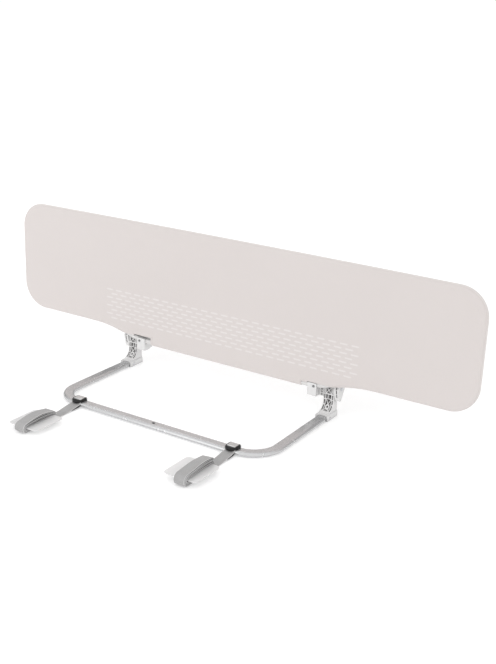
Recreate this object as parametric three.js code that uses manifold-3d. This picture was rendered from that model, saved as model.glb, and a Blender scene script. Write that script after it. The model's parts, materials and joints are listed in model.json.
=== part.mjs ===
// A folding guard rail for the side of a bed: a fabric-covered panel hinged to a U-shaped
// base tube that lies under the mattress, with two webbing straps wound on anchor plates.
// Millimetres. +X runs along the panel, +Y from the cross tube to the panel, +Z up.
// The origin is the middle of the cross tube's flat underside.
import * as THREE from "three";
import { mergeVertices } from "three/addons/utils/BufferGeometryUtils.js";
import Module from "manifold-3d";

const wasm = await Module();
wasm.setup();

// Clearances
const gap = 0.3; // between pieces that touch or run on each other
const overrun = 6; // how far a cutting solid runs past what it cuts
const weldDistance = 0.0001;

// Panel cover
const panelLength = 1500;
const panelTop = 439.5; // top edge beside the corners
const panelCrown = 5.5; // extra height at mid-length
const panelBottom = 110; // lower edge outside the brackets
const panelSkirt = 76; // lower edge between the brackets
const panelCornerRadius = 78;
const swoopOuter = 405; // where the lower edge starts to drop towards the skirt
const swoopOuterRadius = 400;
const swoopInnerRadius = 200;
const swoopStraight = 6.3; // straight stretch between the two bends
const notchInner = 254; // bracket notch in the lower edge
const notchOuter = 366;
const notchTop = 97;
const windowOuter = 316; // higher opening in front, over the left hinge block
const windowTop = 101;
const windowDepth = 6;
const coverWall = 0.8;
const coverRimRadius = 7;
const coverSeamGap = 0.4;
const crownReachShare = 0.85;

// Panel frame
const railDiameter = 16;
const railWall = 1.2;
const topSplit = 320; // where the end loops meet the top rail
const lowerSplit = 289; // where they meet the lower rail, inside the hinge block
const joinerLength = 60;
const joinerWall = 1.2;

// Base tube
const armSpacing = 666;
const armReach = 331; // cross tube's centre line to the panel's mid-plane
const tubeWidth = 30;
const tubeHeight = 13;
const tubeWall = 1.5;
const tubeBendRadius = 78;
const seamOffset = 25; // the two halves meet this far left of the middle
const swageLength = 60; // reduced end of the left half, inside the right half
const swageShoulder = 8;

// Snap button that locks the two halves
const buttonDiameter = 7;
const buttonProud = 1.4;
const buttonFlange = 1.5; // how far the flange stands out
const buttonFlangeThickness = 1;
const buttonSpringThickness = 0.6;
const buttonSpringWidth = 6;
const buttonSpringLeg = 13; // from the button's axis to the bend
const buttonSpringTail = 12;

// Upright moulding
const uprightWidth = 31;
const uprightBack = 31; // back face, behind the panel's mid-plane
const pivotSetback = 23; // hinge axis, behind the panel's mid-plane
const pivotHeight = 83;
const headRadius = 15;
const flareHeight = 48; // where the front face starts to flare into the foot
const footFront = 28; // front of the foot, ahead of the panel's mid-plane
const footRoof = 4; // wall over the tube
const collarWall = 3;
const collarCornerRadius = 5;
const socketDepth = 24; // tube's end, behind the panel's mid-plane
const spigotReach = 38; // tongue inside the tube's end
const spigotClearance = 0.4;
const lipRadius = 30; // hollow front edge of the foot
const lipDepth = 6;

// Ribbed front of the upright
const latticeWall = 2;
const latticeRib = 2;
const latticeBar = 1.8;
const latticeSlot = 3.5;
const latticeBackWall = 3;
const latticeBottom = 21;
const latticeTop = 64;
const latticeWeb = 2.5;
const headPocketBottom = 67;
const headPocketTop = 86;
const headPocketDepth = 7.5;
const headSlotDepth = 2;
const bossRadius = 6.5;
const bossHoleRadius = 3;
const bossHeight = 30;
const bossHoleDepth = 16;

// Rivet through the foot and the tube
const rivetRadius = 2.2;
const rivetHeadRadius = 4;
const rivetHeadHeight = 1.6;
const rivetFaceRadius = 2.4;
const rivetSetback = 12; // ahead of the panel's mid-plane

// Hinge block, the bridge and the outer cheek
const blockLength = 41.5;
const blockFaceLength = 27.3; // flat part that carries the rail
const blockFront = 4.5; // flat face, behind the panel's mid-plane
const blockRibbedFront = 6.5; // beside the upright
const blockBack = 27;
const blockBottom = 55;
const blockBottomRise = 5; // the underside climbs to the rear
const blockTop = 96;
const blockEdgeRadius = 3;
const blockPocketWidth = 5;
const blockPocketDepth = 5;
const blockPocketWall = 2;
const blockPocketHeights = [58.5, 66, 73.5];
const blockPocketHeight = 5.5;
const knuckleRadius = 17;
const bridgeDepth = 5;
const bridgeHeight = 8;
const bridgeClearance = 0.5;
const bridgeShoulder = 10.5;
const cheekGap = 0.6;
const cheekThickness = 14;
const cheekRadius = 19;
const cheekTailRadius = 8;
const cheekTailDrop = 28;
const cheekWrapDegrees = 20; // how far its round ends wrap past level
const cheekSlotWidth = 3.5;
const cheekSlotInset = 6;
const cheekSlotBottom = 60;
const cheekSlotTop = 94;
const cheekSlotDepth = 9;
const cheekSlotBars = 3;

// Clip that holds the lower rail on the block: a flat plate in front of both
const clipWall = 2.3;
const clipBottom = 56.5;
const clipTop = 93;
const clipShelf = 76; // top of the part that lies on the block, under the rail
const clipEdgeRadius = 2;

// Hinge pin and clip screw
const pinRadius = 4;
const pinSeat = 16; // length held in the knuckle
const pinHeadRadius = 6.5;
const pinHeadHeight = 2;
const screwRadius = 2;
const screwHeadRadius = 3.2;
const screwHeadHeight = 1.7;
const screwInset = 19; // from the block's inner end
const screwReach = 10; // into the block, past the rail

// Spring plunger that holds the panel upright
const plungerRadius = 2.5;
const plungerOffset = 9.7; // from the hinge axis
const plungerReach = 2.6; // into the groove of the head
const plungerCollarRadius = 3.65;
const plungerCollarLength = 2.5;
const plungerCollarInset = 1.7; // from the knuckle's face
const chamberRadius = 4;
const chamberDepth = 15.7;
const knobRadius = 8;
const knobLength = 9;
const knobStandoff = 5;
const knobWaist = 1.6;
const grooveDepth = 3.2;
const lockHoleDepth = 6.8;
const springWireRadius = 0.4;
const springRadius = 3.3;
const springTurns = 5;
const grooveMarginDegrees = 2; // free turn past each end of the groove

// Webbing, anchor plates and winding
const strapWidth = 30;
const strapThickness = 1.5;
const strapPitch = 2.05; // from layer to layer in the winding
const strapTail = 12; // end inside the clamp, behind the cross tube's centre line
const strapSlopeDegrees = 20;
const strapFloorRadius = 60;
const strapFloorGap = 0.3;
const plateWidth = 98;
const plateLength = 104;
const plateThickness = 3;
const plateCornerRadius = 12;
const plateEdge = 0.8;
const runShare = 0.35; // share of a turn that each straight run takes

// Strap clamp and its lever
const clampWidth = 35;
const clampWall = 2.3;
const clampTop = 20.5;
const clampFront = 19.5;
const clampCornerRadius = 9; // seen from above
const clampShoulderRadius = 6; // seen from the side
const clampLegBottom = 1.2;
const clampLipBottom = 9;
const leverWidth = 24;
const leverThickness = 3.6;
const leverLength = 21;
const leverPivotBack = 11;
const leverPivotHeight = 18.4;
const leverCamRadius = 3;
const leverPinRadius = 1.3;
const leverPinLength = 33;
const leverRecessFloor = 17;

// Places along the cross tube, from the middle outwards, and the two windings
const rightStrap = { centre: 246, plateShift: -10, windingCentre: -165, plateCentre: -163, turns: 5 };
const leftStrap = { centre: 252, plateShift: 1, windingCentre: -170, plateCentre: -168, turns: 4 };

// Derived values
const armX = armSpacing / 2;
const tubeMiddle = tubeHeight / 2;
const railRadius = railDiameter / 2;
const coverHalf = railRadius + gap + coverWall;
const pivotY = armReach + pivotSetback;
const uprightFront = pivotSetback - headRadius;
const footHeight = tubeHeight + gap + footRoof;
const uprightInner = armX - uprightWidth / 2;
const uprightOuter = armX + uprightWidth / 2;
const blockOuter = uprightInner - gap;
const blockInner = blockOuter - blockLength;
const faceOuter = blockInner + blockFaceLength;
const cheekInner = uprightOuter + cheekGap;
const cheekOuter = cheekInner + cheekThickness;
const plungerY = pivotY + plungerOffset;

// Where the swoop reaches the skirt: its slope is as steep as its two bends allow
const swoopDrop = panelBottom - panelSkirt;
const swoopBends = swoopOuterRadius + swoopInnerRadius;
const swoopRoot = Math.sqrt(swoopStraight ** 2 + swoopDrop * (2 * swoopBends - swoopDrop));
const swoopHalfTangent = (swoopRoot - swoopStraight) / (2 * swoopBends - swoopDrop);
const swoopInner = swoopOuter - swoopDrop / Math.tan(2 * Math.atan(swoopHalfTangent));

// Materials
const finish = (color, roughness, metalness = 0) =>
  new THREE.MeshStandardMaterial({ color, roughness, metalness });
const greyTube = finish(0xb0aeae, 0.45, 0.3);
const whiteTube = finish(0xe4e2e1, 0.4, 0.1);
const brightSteel = finish(0xc8c8cc, 0.25, 1);
const whiteMoulding = finish(0xe9e7e5, 0.5);
const blackMoulding = finish(0x1b1a1b, 0.45);
const greyMoulding = finish(0xbdbbba, 0.4);
const coverFabric = finish(0xe1dad8, 0.9);
const greyWebbing = finish(0x9c9a9a, 0.85);
const clearPlate = finish(0xe4e4e6, 0.3);

const vec = (x, y, z) => new THREE.Vector3(x, y, z);
const degrees = (angle) => (angle * Math.PI) / 180;

// A closed geometry as a solid that can be joined and cut.
function solid(geometry) {
  const plain = geometry.clone();
  plain.deleteAttribute("normal");
  plain.deleteAttribute("uv");
  const merged = mergeVertices(plain, weldDistance);
  const vertProperties = merged.attributes.position.array;
  const triVerts = new Uint32Array(merged.index.array);
  const made = new wasm.Manifold(new wasm.Mesh({ numProp: 3, vertProperties, triVerts }));
  if (made.volume() > 0) return made;
  return new wasm.Manifold(new wasm.Mesh({ numProp: 3, vertProperties, triVerts: triVerts.reverse() }));
}

const join = (...solids) => solids.reduce((a, b) => a.add(b));
const cut = (body, ...tools) => tools.reduce((a, b) => a.subtract(b), body);

// A named mesh from a solid.
function piece(name, body, material) {
  const { vertProperties, triVerts } = body.getMesh();
  const geometry = new THREE.BufferGeometry();
  geometry.setAttribute("position", new THREE.BufferAttribute(vertProperties, 3));
  geometry.setIndex(new THREE.BufferAttribute(triVerts, 1));
  const mesh = new THREE.Mesh(geometry.toNonIndexed(), material);
  mesh.geometry.computeVertexNormals();
  mesh.name = name;
  return mesh;
}

// Axes of a prism: where the drawing's x and y and the extrusion's direction go.
const alongX = [vec(0, 1, 0), vec(0, 0, 1), vec(1, 0, 0)];
const alongY = [vec(1, 0, 0), vec(0, 0, 1), vec(0, -1, 0)];
const alongZ = [vec(1, 0, 0), vec(0, 1, 0), vec(0, 0, 1)];

// A drawing extruded from low to high along one of those directions, with rounded rims of radius edge.
function prism(axes, shape, low, high, { edge = 0, rounds = 3, curveSegments = 6 } = {}) {
  const geometry = new THREE.ExtrudeGeometry(shape, {
    depth: high - low - 2 * edge,
    curveSegments,
    bevelEnabled: edge > 0,
    bevelThickness: edge,
    bevelSize: edge,
    bevelOffset: -edge,
    bevelSegments: rounds,
  });
  geometry.applyMatrix4(new THREE.Matrix4().makeBasis(...axes));
  const start = axes === alongY ? -high : low;
  const shift = axes[2].clone().multiplyScalar(start + edge);
  return solid(geometry.translate(shift.x, shift.y, shift.z));
}

function rectangle(x0, y0, x1, y1) {
  const shape = new THREE.Shape();
  shape.moveTo(x0, y0).lineTo(x1, y0).lineTo(x1, y1).lineTo(x0, y1);
  return shape;
}

const box = (x0, x1, y0, y1, z0, z1) => prism(alongZ, rectangle(x0, y0, x1, y1), z0, z1);

function disc(x, y, radius) {
  const shape = new THREE.Shape();
  shape.absarc(x, y, radius, 0, 2 * Math.PI);
  return shape;
}

// A flat oval with round ends, whichever side is the longer.
function oval(width, height, x = 0, y = 0) {
  const radius = Math.min(width, height) / 2;
  const reach = Math.max(width, height) / 2 - radius;
  const turn = width > height ? -Math.PI / 2 : 0;
  const dx = width > height ? reach : 0;
  const dy = width > height ? 0 : reach;
  const shape = new THREE.Shape();
  shape.absarc(x + dx, y + dy, radius, turn, turn + Math.PI);
  shape.absarc(x - dx, y - dy, radius, turn + Math.PI, turn + 2 * Math.PI);
  return shape;
}

function roundedRectangle(x0, y0, x1, y1, radius) {
  const shape = new THREE.Shape();
  shape.absarc(x1 - radius, y0 + radius, radius, -Math.PI / 2, 0);
  shape.absarc(x1 - radius, y1 - radius, radius, 0, Math.PI / 2);
  shape.absarc(x0 + radius, y1 - radius, radius, Math.PI / 2, Math.PI);
  shape.absarc(x0 + radius, y0 + radius, radius, Math.PI, 1.5 * Math.PI);
  return shape;
}

function withHole(shape, hole) {
  shape.holes.push(hole);
  return shape;
}

// A solid turned about a line along X: the profile is pairs of a place on the line and a radius.
function turned(profile, y, z, sides = 14) {
  const points = profile.map(([x, radius]) => new THREE.Vector2(radius, x));
  const geometry = new THREE.LatheGeometry(points, sides);
  return solid(geometry.rotateZ(-Math.PI / 2).translate(0, y, z));
}

const rod = (radius, x0, x1, y, z, sides = 14) =>
  turned([[x0, 0], [x0, radius], [x1, radius], [x1, 0]], y, z, sides);

// A path whose rings lie only where they are needed: at its ends and in its bends.
class StationPath extends THREE.Curve {
  constructor(stations) {
    super();
    this.stations = stations;
  }
  station(share) {
    return this.stations[Math.round(share * (this.stations.length - 1))];
  }
  getPointAt(share, target = vec(0, 0, 0)) {
    return target.copy(this.station(share).point);
  }
  getTangentAt(share, target = vec(0, 0, 0)) {
    return target.copy(this.station(share).tangent);
  }
}

function sweep(section, stations, curveSegments = 8) {
  const settings = { steps: stations.length - 1, curveSegments, bevelEnabled: false };
  settings.extrudePath = new StationPath(stations);
  return solid(new THREE.ExtrudeGeometry(section, settings));
}

const heading = (from, to) => to.clone().sub(from).normalize();

// The stations of one bend of the given radius at a corner between two headings.
function bendStations(corner, before, after, radius, steps) {
  const angle = before.angleTo(after);
  const start = corner.clone().addScaledVector(before, -radius * Math.tan(angle / 2));
  const side = after.clone().addScaledVector(before, -Math.cos(angle)).normalize();
  const centre = start.clone().addScaledVector(side, radius);
  return Array.from({ length: steps + 1 }, (_, k) => {
    const turn = (angle * k) / steps;
    const point = centre.clone().addScaledVector(before, radius * Math.sin(turn));
    point.addScaledVector(side, -radius * Math.cos(turn));
    const tangent = before.clone().multiplyScalar(Math.cos(turn)).addScaledVector(side, Math.sin(turn));
    return { point, tangent };
  });
}

// An open path from its end points and the corners between them.
function openPath(start, bends, end) {
  const corners = [start, ...bends.map((bend) => bend.corner), end];
  const first = { point: start, tangent: heading(start, corners[1]) };
  const last = { point: end, tangent: heading(corners.at(-2), end) };
  const middle = bends.flatMap(({ corner, radius, steps }, k) => {
    const before = heading(corners[k], corner);
    return bendStations(corner, before, heading(corner, corners[k + 2]), radius, steps);
  });
  return [first, ...middle, last];
}

// The panel's outline, anticlockwise from the lower right corner, drawn in from the cover's edge by inset.
function panelOutline(inset) {
  const half = panelLength / 2;
  const crownAngle = 2 * Math.atan2(panelCrown, half);
  const crownRadius = (crownReachShare * half) / Math.tan(crownAngle / 2);
  const rightSide = [
    { x: swoopInner, z: panelSkirt, radius: swoopInnerRadius, steps: 4 },
    { x: swoopOuter, z: panelBottom, radius: swoopOuterRadius, steps: 4 },
    { x: half, z: panelBottom, radius: panelCornerRadius, steps: 8 },
    { x: half, z: panelTop, radius: panelCornerRadius, steps: 8 },
  ];
  const crown = { x: 0, z: panelTop + panelCrown, radius: crownRadius, steps: 6 };
  const leftSide = rightSide.map((c) => ({ ...c, x: -c.x })).reverse();
  const corners = [...rightSide, crown, ...leftSide];
  const at = (k) => corners[(k + corners.length) % corners.length];
  const way = (a, b) => heading(vec(a.x, 0, a.z), vec(b.x, 0, b.z));
  const moved = corners.map((corner, k) => {
    const before = way(at(k - 1), corner);
    const after = way(corner, at(k + 1));
    const inwards = vec(-before.z - after.z, 0, before.x + after.x);
    inwards.divideScalar(1 + before.dot(after));
    const convex = before.x * after.z - before.z * after.x > 0;
    const radius = corner.radius + (convex ? -inset : inset);
    const point = vec(corner.x, armReach, corner.z).addScaledVector(inwards, inset);
    return { point, before, after, radius, steps: corner.steps };
  });
  return moved.flatMap((c) => bendStations(c.point, c.before, c.after, c.radius, c.steps));
}

// The stretch of a closed run of stations between those nearest two places, with its ends drawn back.
function stretch(stations, from, to) {
  const away = ([x, z], s) => Math.hypot(s.point.x - x, s.point.z - z);
  const nearest = (place) =>
    stations.reduce((best, s, k) => (away(place, s) < away(place, stations[best]) ? k : best), 0);
  const first = nearest(from);
  const count = (nearest(to) - first + stations.length) % stations.length;
  const run = Array.from({ length: count + 1 }, (_, k) => ({
    ...stations[(first + k) % stations.length],
  }));
  const [head, tail] = [run[0], run.at(-1)];
  head.point = head.point.clone().addScaledVector(head.tangent, gap);
  tail.point = tail.point.clone().addScaledVector(tail.tangent, -gap);
  return run;
}

const outlineShape = (inset) =>
  new THREE.Shape(panelOutline(inset).map((s) => new THREE.Vector2(s.point.x, s.point.z)));

// The rails' line, with a station of its own at each place where they are split.
function railStations() {
  const stations = panelOutline(coverHalf);
  const middle = (panelSkirt + panelTop) / 2;
  return stations.flatMap((a, k) => {
    const b = stations[(k + 1) % stations.length];
    const split = a.point.z < middle ? lowerSplit : topSplit;
    const share = [split, -split]
      .map((x) => (x - a.point.x) / (b.point.x - a.point.x))
      .find((s) => s > 0 && s < 1);
    if (share === undefined) return [a];
    const point = a.point.clone().lerp(b.point, share);
    return [a, { point, tangent: a.tangent.clone().lerp(b.tangent, share).normalize() }];
  });
}

const railLine = railStations();
const railSection = () => withHole(disc(0, 0, railRadius), disc(0, 0, railRadius - railWall));
const insideBlock = (side) => [side * lowerSplit, panelSkirt + coverHalf];
const onTop = (side) => [side * topSplit, panelTop + panelCrown - coverHalf];

// A round bar along the lower rail in the bracket, to cut its space or shape its clip.
function alongRail(radius) {
  const inner = [notchInner - railDiameter, panelSkirt];
  const run = stretch(railLine, inner, [swoopOuter, panelBottom + coverHalf]);
  return sweep(disc(0, 0, radius), run, 12);
}

const railSpace = () => alongRail(railRadius + gap);

// Fabric cover: a rounded shell, split at mid-thickness, with a notch at each bracket.
function coverHalves() {
  const low = armReach - coverHalf;
  const high = armReach + coverHalf;
  const outer = prism(alongY, outlineShape(0), low, high, { edge: coverRimRadius });
  const inner = prism(alongY, outlineShape(coverWall), low + coverWall, high - coverWall, {
    edge: coverRimRadius - coverWall,
  });
  const notch = (x0, x1) => box(x0, x1, low - overrun, high + overrun, 0, notchTop);
  const windowBack = armReach + windowDepth;
  const window = box(-windowOuter, -notchInner, low - overrun, windowBack, 0, windowTop);
  const shell = cut(
    outer,
    inner,
    notch(notchInner, notchOuter),
    notch(-notchOuter, -notchInner),
    window,
  );
  const seam = coverSeamGap / 2;
  const slab = (y0, y1) => box(-panelLength, panelLength, y0, y1, 0, 2 * panelTop);
  return [
    shell.intersect(slab(low - overrun, armReach - seam)),
    shell.intersect(slab(armReach + seam, high + overrun)),
  ];
}

// Sleeve inside the frame where an end loop meets the top rail.
function railJoiner() {
  const [place] = stretch(railLine, onTop(1), onTop(1));
  const end = (side) => ({
    point: place.point.clone().addScaledVector(place.tangent, (side * joinerLength) / 2),
    tangent: place.tangent,
  });
  const radius = railRadius - railWall - gap;
  return sweep(withHole(disc(0, 0, radius), disc(0, 0, radius - joinerWall)), [end(-1), end(1)]);
}

// The centre line of one half of the base tube, from a place on the cross tube to the end of the arm.
const tubeLine = (from, to) =>
  openPath(
    vec(from, 0, tubeMiddle),
    [{ corner: vec(armX, 0, tubeMiddle), radius: tubeBendRadius, steps: 9 }],
    vec(armX, to, tubeMiddle),
  );

const armEnd = armReach + socketDepth;
const tubeSection = () =>
  withHole(oval(tubeHeight, tubeWidth), oval(tubeHeight - 2 * tubeWall, tubeWidth - 2 * tubeWall));
const rivetPlace = [armReach - rivetSetback, tubeMiddle];
const rivetHole = () => rod(rivetRadius + gap, armX - 2 * tubeWidth, armX + 2 * tubeWidth, ...rivetPlace);

// The hole that the snap button comes up through.
function buttonHole() {
  const radius = buttonDiameter / 2 + gap;
  return prism(alongZ, disc(0, 0, radius), tubeMiddle, tubeHeight + overrun);
}

function rightTube() {
  const tube = sweep(tubeSection(), tubeLine(-seamOffset, armEnd), 6);
  return cut(tube, rivetHole(), buttonHole());
}

// Left half, drawn on the right: its inner end is reduced to slide into the other half.
function leftTube() {
  const start = seamOffset + gap;
  const width = tubeWidth - 2 * (tubeWall + gap);
  const height = tubeHeight - 2 * (tubeWall + gap);
  const bore = () => oval(width - 2 * tubeWall, height - 2 * tubeWall, 0, tubeMiddle);
  const swage = prism(
    alongX,
    withHole(oval(width, height, 0, tubeMiddle), bore()),
    seamOffset - swageLength,
    start + swageShoulder,
    { curveSegments: 6 },
  );
  const shoulder = prism(
    alongX,
    withHole(oval(tubeWidth - tubeWall, tubeHeight - tubeWall, 0, tubeMiddle), bore()),
    start,
    start + swageShoulder,
    { curveSegments: 6 },
  );
  const tube = sweep(tubeSection(), tubeLine(start, armEnd), 6);
  return cut(join(tube, shoulder, swage), rivetHole(), buttonHole());
}

const swageCeiling = tubeHeight - 2 * tubeWall - gap;
const swageFloor = 2 * tubeWall + gap;

function snapButton() {
  const radius = buttonDiameter / 2;
  const flangeTop = swageCeiling - gap;
  const bottom = flangeTop - buttonFlangeThickness;
  const stem = prism(alongZ, disc(0, 0, radius), bottom, tubeHeight + buttonProud, {
    edge: buttonFlangeThickness / 2,
    rounds: 2,
  });
  const flange = prism(alongZ, disc(0, 0, radius + buttonFlange), bottom, flangeTop);
  return join(stem, flange);
}

// Leaf spring under the button, bent back on itself inside the tube.
function buttonSpring() {
  const bottom = swageFloor + gap + buttonSpringThickness / 2;
  const top = swageCeiling - 2 * gap - buttonFlangeThickness - buttonSpringThickness / 2;
  const radius = (top - bottom) / 2;
  const arc = Array.from({ length: 9 }, (_, k) => {
    const turn = (Math.PI * k) / 8;
    return {
      point: vec(buttonSpringLeg + radius * Math.sin(turn), 0, bottom + radius * (1 - Math.cos(turn))),
      tangent: vec(Math.cos(turn), 0, Math.sin(turn)),
    };
  });
  const ends = [
    { point: vec(-buttonSpringTail, 0, bottom), tangent: vec(1, 0, 0) },
    { point: vec(-buttonDiameter / 2, 0, top), tangent: vec(-1, 0, 0) },
  ];
  const section = rectangle(
    -buttonSpringThickness / 2,
    -buttonSpringWidth / 2,
    buttonSpringThickness / 2,
    buttonSpringWidth / 2,
  );
  return sweep(section, [ends[0], ...arc, ends[1]]);
}

// A bar of the lattice between two places on the front of the upright.
function latticeBarBetween(x0, z0, x1, z1) {
  const along = new THREE.Vector2(x1 - x0, z1 - z0).normalize();
  const [dx, dz] = [(-along.y * latticeBar) / 2, (along.x * latticeBar) / 2];
  const shape = new THREE.Shape();
  shape.moveTo(x0 - dx, z0 - dz).lineTo(x1 - dx, z1 - dz).lineTo(x1 + dx, z1 + dz).lineTo(x0 + dx, z0 + dz);
  return prism(alongY, shape, armReach - footFront - overrun, armReach + uprightBack);
}

// What is moulded out of the upright's front: two columns of slots beside a braced middle.
function latticePockets() {
  const front = armReach - footFront - overrun;
  const field = (x0, x1, z0, z1, depth) => box(armX + x0, armX + x1, front, armReach + depth, z0, z1);
  const slotEnd = uprightWidth / 2 - latticeWall;
  const middle = slotEnd - latticeSlot - latticeRib;
  const deep = uprightBack - latticeBackWall;
  const rows = 3;
  const rowHeight = (latticeTop - latticeBottom - (rows - 1) * latticeWeb) / rows;
  const pockets = [];
  for (const side of [-1, 1]) {
    const [a, b] = [side * slotEnd, side * (slotEnd - latticeSlot)].sort((p, q) => p - q);
    for (let row = 0; row < rows; row += 1) {
      const low = latticeBottom + row * (rowHeight + latticeWeb);
      pockets.push(field(a, b, low, low + rowHeight, deep));
    }
    pockets.push(field(a, b, headPocketBottom, headPocketTop, uprightFront + headSlotDepth));
  }
  pockets.push(field(-middle, middle, latticeBottom, latticeTop, deep));
  pockets.push(field(-middle, middle, headPocketBottom, headPocketTop, uprightFront + headPocketDepth));
  const bossTop = bossHeight + bossRadius;
  const window = latticeTop - rowHeight;
  const bars = [
    [-middle, headPocketBottom, middle, headPocketTop],
    [middle, headPocketBottom, -middle, headPocketTop],
    [-middle, window, middle, window],
    [-latticeBar, window, -latticeBar, latticeTop],
    [-middle, window, 0, bossTop],
    [middle, window, 0, bossTop],
    [-middle, latticeBottom, 0, bossHeight],
    [middle, latticeBottom, 0, bossHeight],
  ].map(([x0, z0, x1, z1]) => latticeBarBetween(armX + x0, z0, armX + x1, z1));
  const boss = prism(alongY, disc(armX, bossHeight, bossRadius), front, armReach + uprightBack);
  return cut(join(...pockets), ...bars, boss);
}

// The side view of the upright: head, stem and the flare into the foot.
function uprightProfile() {
  const [front, back] = [armReach + uprightFront, armReach + uprightBack];
  const shape = new THREE.Shape();
  const meeting = -Math.acos((back - pivotY) / headRadius);
  shape.moveTo(armReach - footFront, 0).lineTo(back, 0);
  shape.absarc(pivotY, pivotHeight, headRadius, meeting, Math.PI);
  shape.lineTo(front, flareHeight);
  shape.quadraticCurveTo(front, footHeight + footRoof, armReach - footFront + lipDepth, footHeight);
  shape.lineTo(armReach - footFront, footHeight);
  return shape;
}

// The foot that takes the end of the tube's arm, with a tongue inside the tube.
function foot() {
  const half = tubeWidth / 2 + gap + collarWall;
  const [front, back] = [armReach - footFront, armReach + uprightBack];
  const outside = new THREE.Shape();
  outside.moveTo(armX - half, 0).lineTo(armX + half, 0);
  const r = collarCornerRadius;
  outside.absarc(armX + half - r, footHeight - r, r, 0, Math.PI / 2);
  outside.absarc(armX - half + r, footHeight - r, r, Math.PI / 2, Math.PI);
  return prism(alongY, outside, front, back);
}

// The groove on the inner side of the head that the plunger's nose follows as the panel turns.
function plungerGroove() {
  const half = plungerRadius + gap;
  const extra = Math.asin((plungerRadius + gap) / plungerOffset) + degrees(grooveMarginDegrees);
  const shape = new THREE.Shape();
  shape.absarc(pivotY, pivotHeight, plungerOffset + half, -Math.PI - extra, extra);
  shape.absarc(pivotY, pivotHeight, plungerOffset - half, extra, -Math.PI - extra, true);
  const face = uprightInner;
  const groove = prism(alongX, shape, face - overrun, face + grooveDepth, { curveSegments: 18 });
  const hole = (side) =>
    rod(half, face - overrun, face + lockHoleDepth, pivotY + side * plungerOffset, pivotHeight);
  return join(groove, hole(1), hole(-1));
}

function upright() {
  const socketEnd = armEnd + gap;
  const front = armReach - footFront;
  const socket = prism(
    alongY,
    oval(tubeWidth + 2 * gap, tubeHeight + 2 * gap, armX, tubeMiddle),
    front - overrun,
    socketEnd,
    { curveSegments: 8 },
  );
  const lipShape = disc(armX, front + lipDepth - lipRadius, lipRadius);
  const lip = prism(alongZ, lipShape, -overrun, footHeight + overrun, { curveSegments: 24 });
  const bore = tubeWall + spigotClearance;
  const spigot = prism(
    alongY,
    oval(tubeWidth - 2 * bore, tubeHeight - 2 * bore, armX, tubeMiddle),
    socketEnd - spigotReach,
    socketEnd + overrun / 2,
    { curveSegments: 8 },
  );
  const stem = prism(alongX, uprightProfile(), uprightInner, uprightOuter, { curveSegments: 12 });
  const bossHole = prism(
    alongY,
    disc(armX, bossHeight, bossHoleRadius),
    front - overrun,
    armReach + bossHoleDepth,
  );
  const hollowed = cut(join(stem, foot()), latticePockets(), bossHole, socket, lip);
  const pinHole = rod(pinRadius + gap, uprightInner - overrun, uprightOuter + overrun, pivotY, pivotHeight);
  return cut(join(hollowed, spigot), rivetHole(), pinHole, plungerGroove());
}

function rivet() {
  const half = tubeWidth / 2 + gap + collarWall + gap;
  const profile = [
    [armX - half - rivetHeadHeight, 0],
    [armX - half - rivetHeadHeight, rivetFaceRadius],
    [armX - half, rivetHeadRadius],
    [armX - half, rivetRadius],
    [armX + half, rivetRadius],
    [armX + half, rivetHeadRadius],
    [armX + half + rivetHeadHeight, rivetFaceRadius],
    [armX + half + rivetHeadHeight, 0],
  ];
  return turned(profile, ...rivetPlace);
}

// The side view of the block behind the lower rail; the underside climbs to the rear.
function blockProfile(front) {
  const [y0, y1] = [armReach + front, armReach + blockBack];
  const r = blockEdgeRadius;
  const shape = new THREE.Shape();
  shape.moveTo(y0 + r, blockBottom).lineTo(y1, blockBottom + blockBottomRise).lineTo(y1, blockTop);
  shape.lineTo(y0, blockTop).lineTo(y0, blockBottom + r);
  shape.quadraticCurveTo(y0, blockBottom, y0 + r, blockBottom);
  return shape;
}

// The screw goes through the clip and the rail into the block.
const screwX = blockInner + screwInset;
const screwHeight = panelSkirt + coverHalf;
const screwBar = (radius, y0, y1) => prism(alongY, disc(screwX, screwHeight, radius), y0, y1);
const screwHole = () => screwBar(screwRadius + gap, armReach - railDiameter, armReach + railDiameter);
const clipFront = armReach - railRadius - gap - clipWall;

// Flat-fronted clip over the front of the rail; below the rail it lies on the block.
function railClip() {
  const back = armReach + blockFront - gap;
  const r = clipEdgeRadius;
  const side = new THREE.Shape();
  side.moveTo(clipFront + r, clipBottom).lineTo(back, clipBottom).lineTo(back, clipShelf);
  side.lineTo(armReach, clipShelf).lineTo(armReach, clipTop);
  side.lineTo(clipFront + r, clipTop).quadraticCurveTo(clipFront, clipTop, clipFront, clipTop - r);
  side.lineTo(clipFront, clipBottom + r).quadraticCurveTo(clipFront, clipBottom, clipFront + r, clipBottom);
  const body = prism(alongX, side, blockInner, faceOuter, { curveSegments: 4 });
  return cut(body, railSpace(), screwHole());
}

// Outer cheek: a rounded plate about the hinge axis with a tail.
function cheekProfile() {
  const tailZ = pivotHeight - cheekTailDrop;
  const shape = new THREE.Shape();
  const wrap = degrees(cheekWrapDegrees);
  shape.absarc(pivotY, pivotHeight, cheekRadius, -wrap, Math.PI + wrap);
  shape.absarc(pivotY - cheekTailRadius / 2, tailZ, cheekTailRadius, Math.PI + wrap, 2 * Math.PI - wrap);
  return shape;
}

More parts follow.
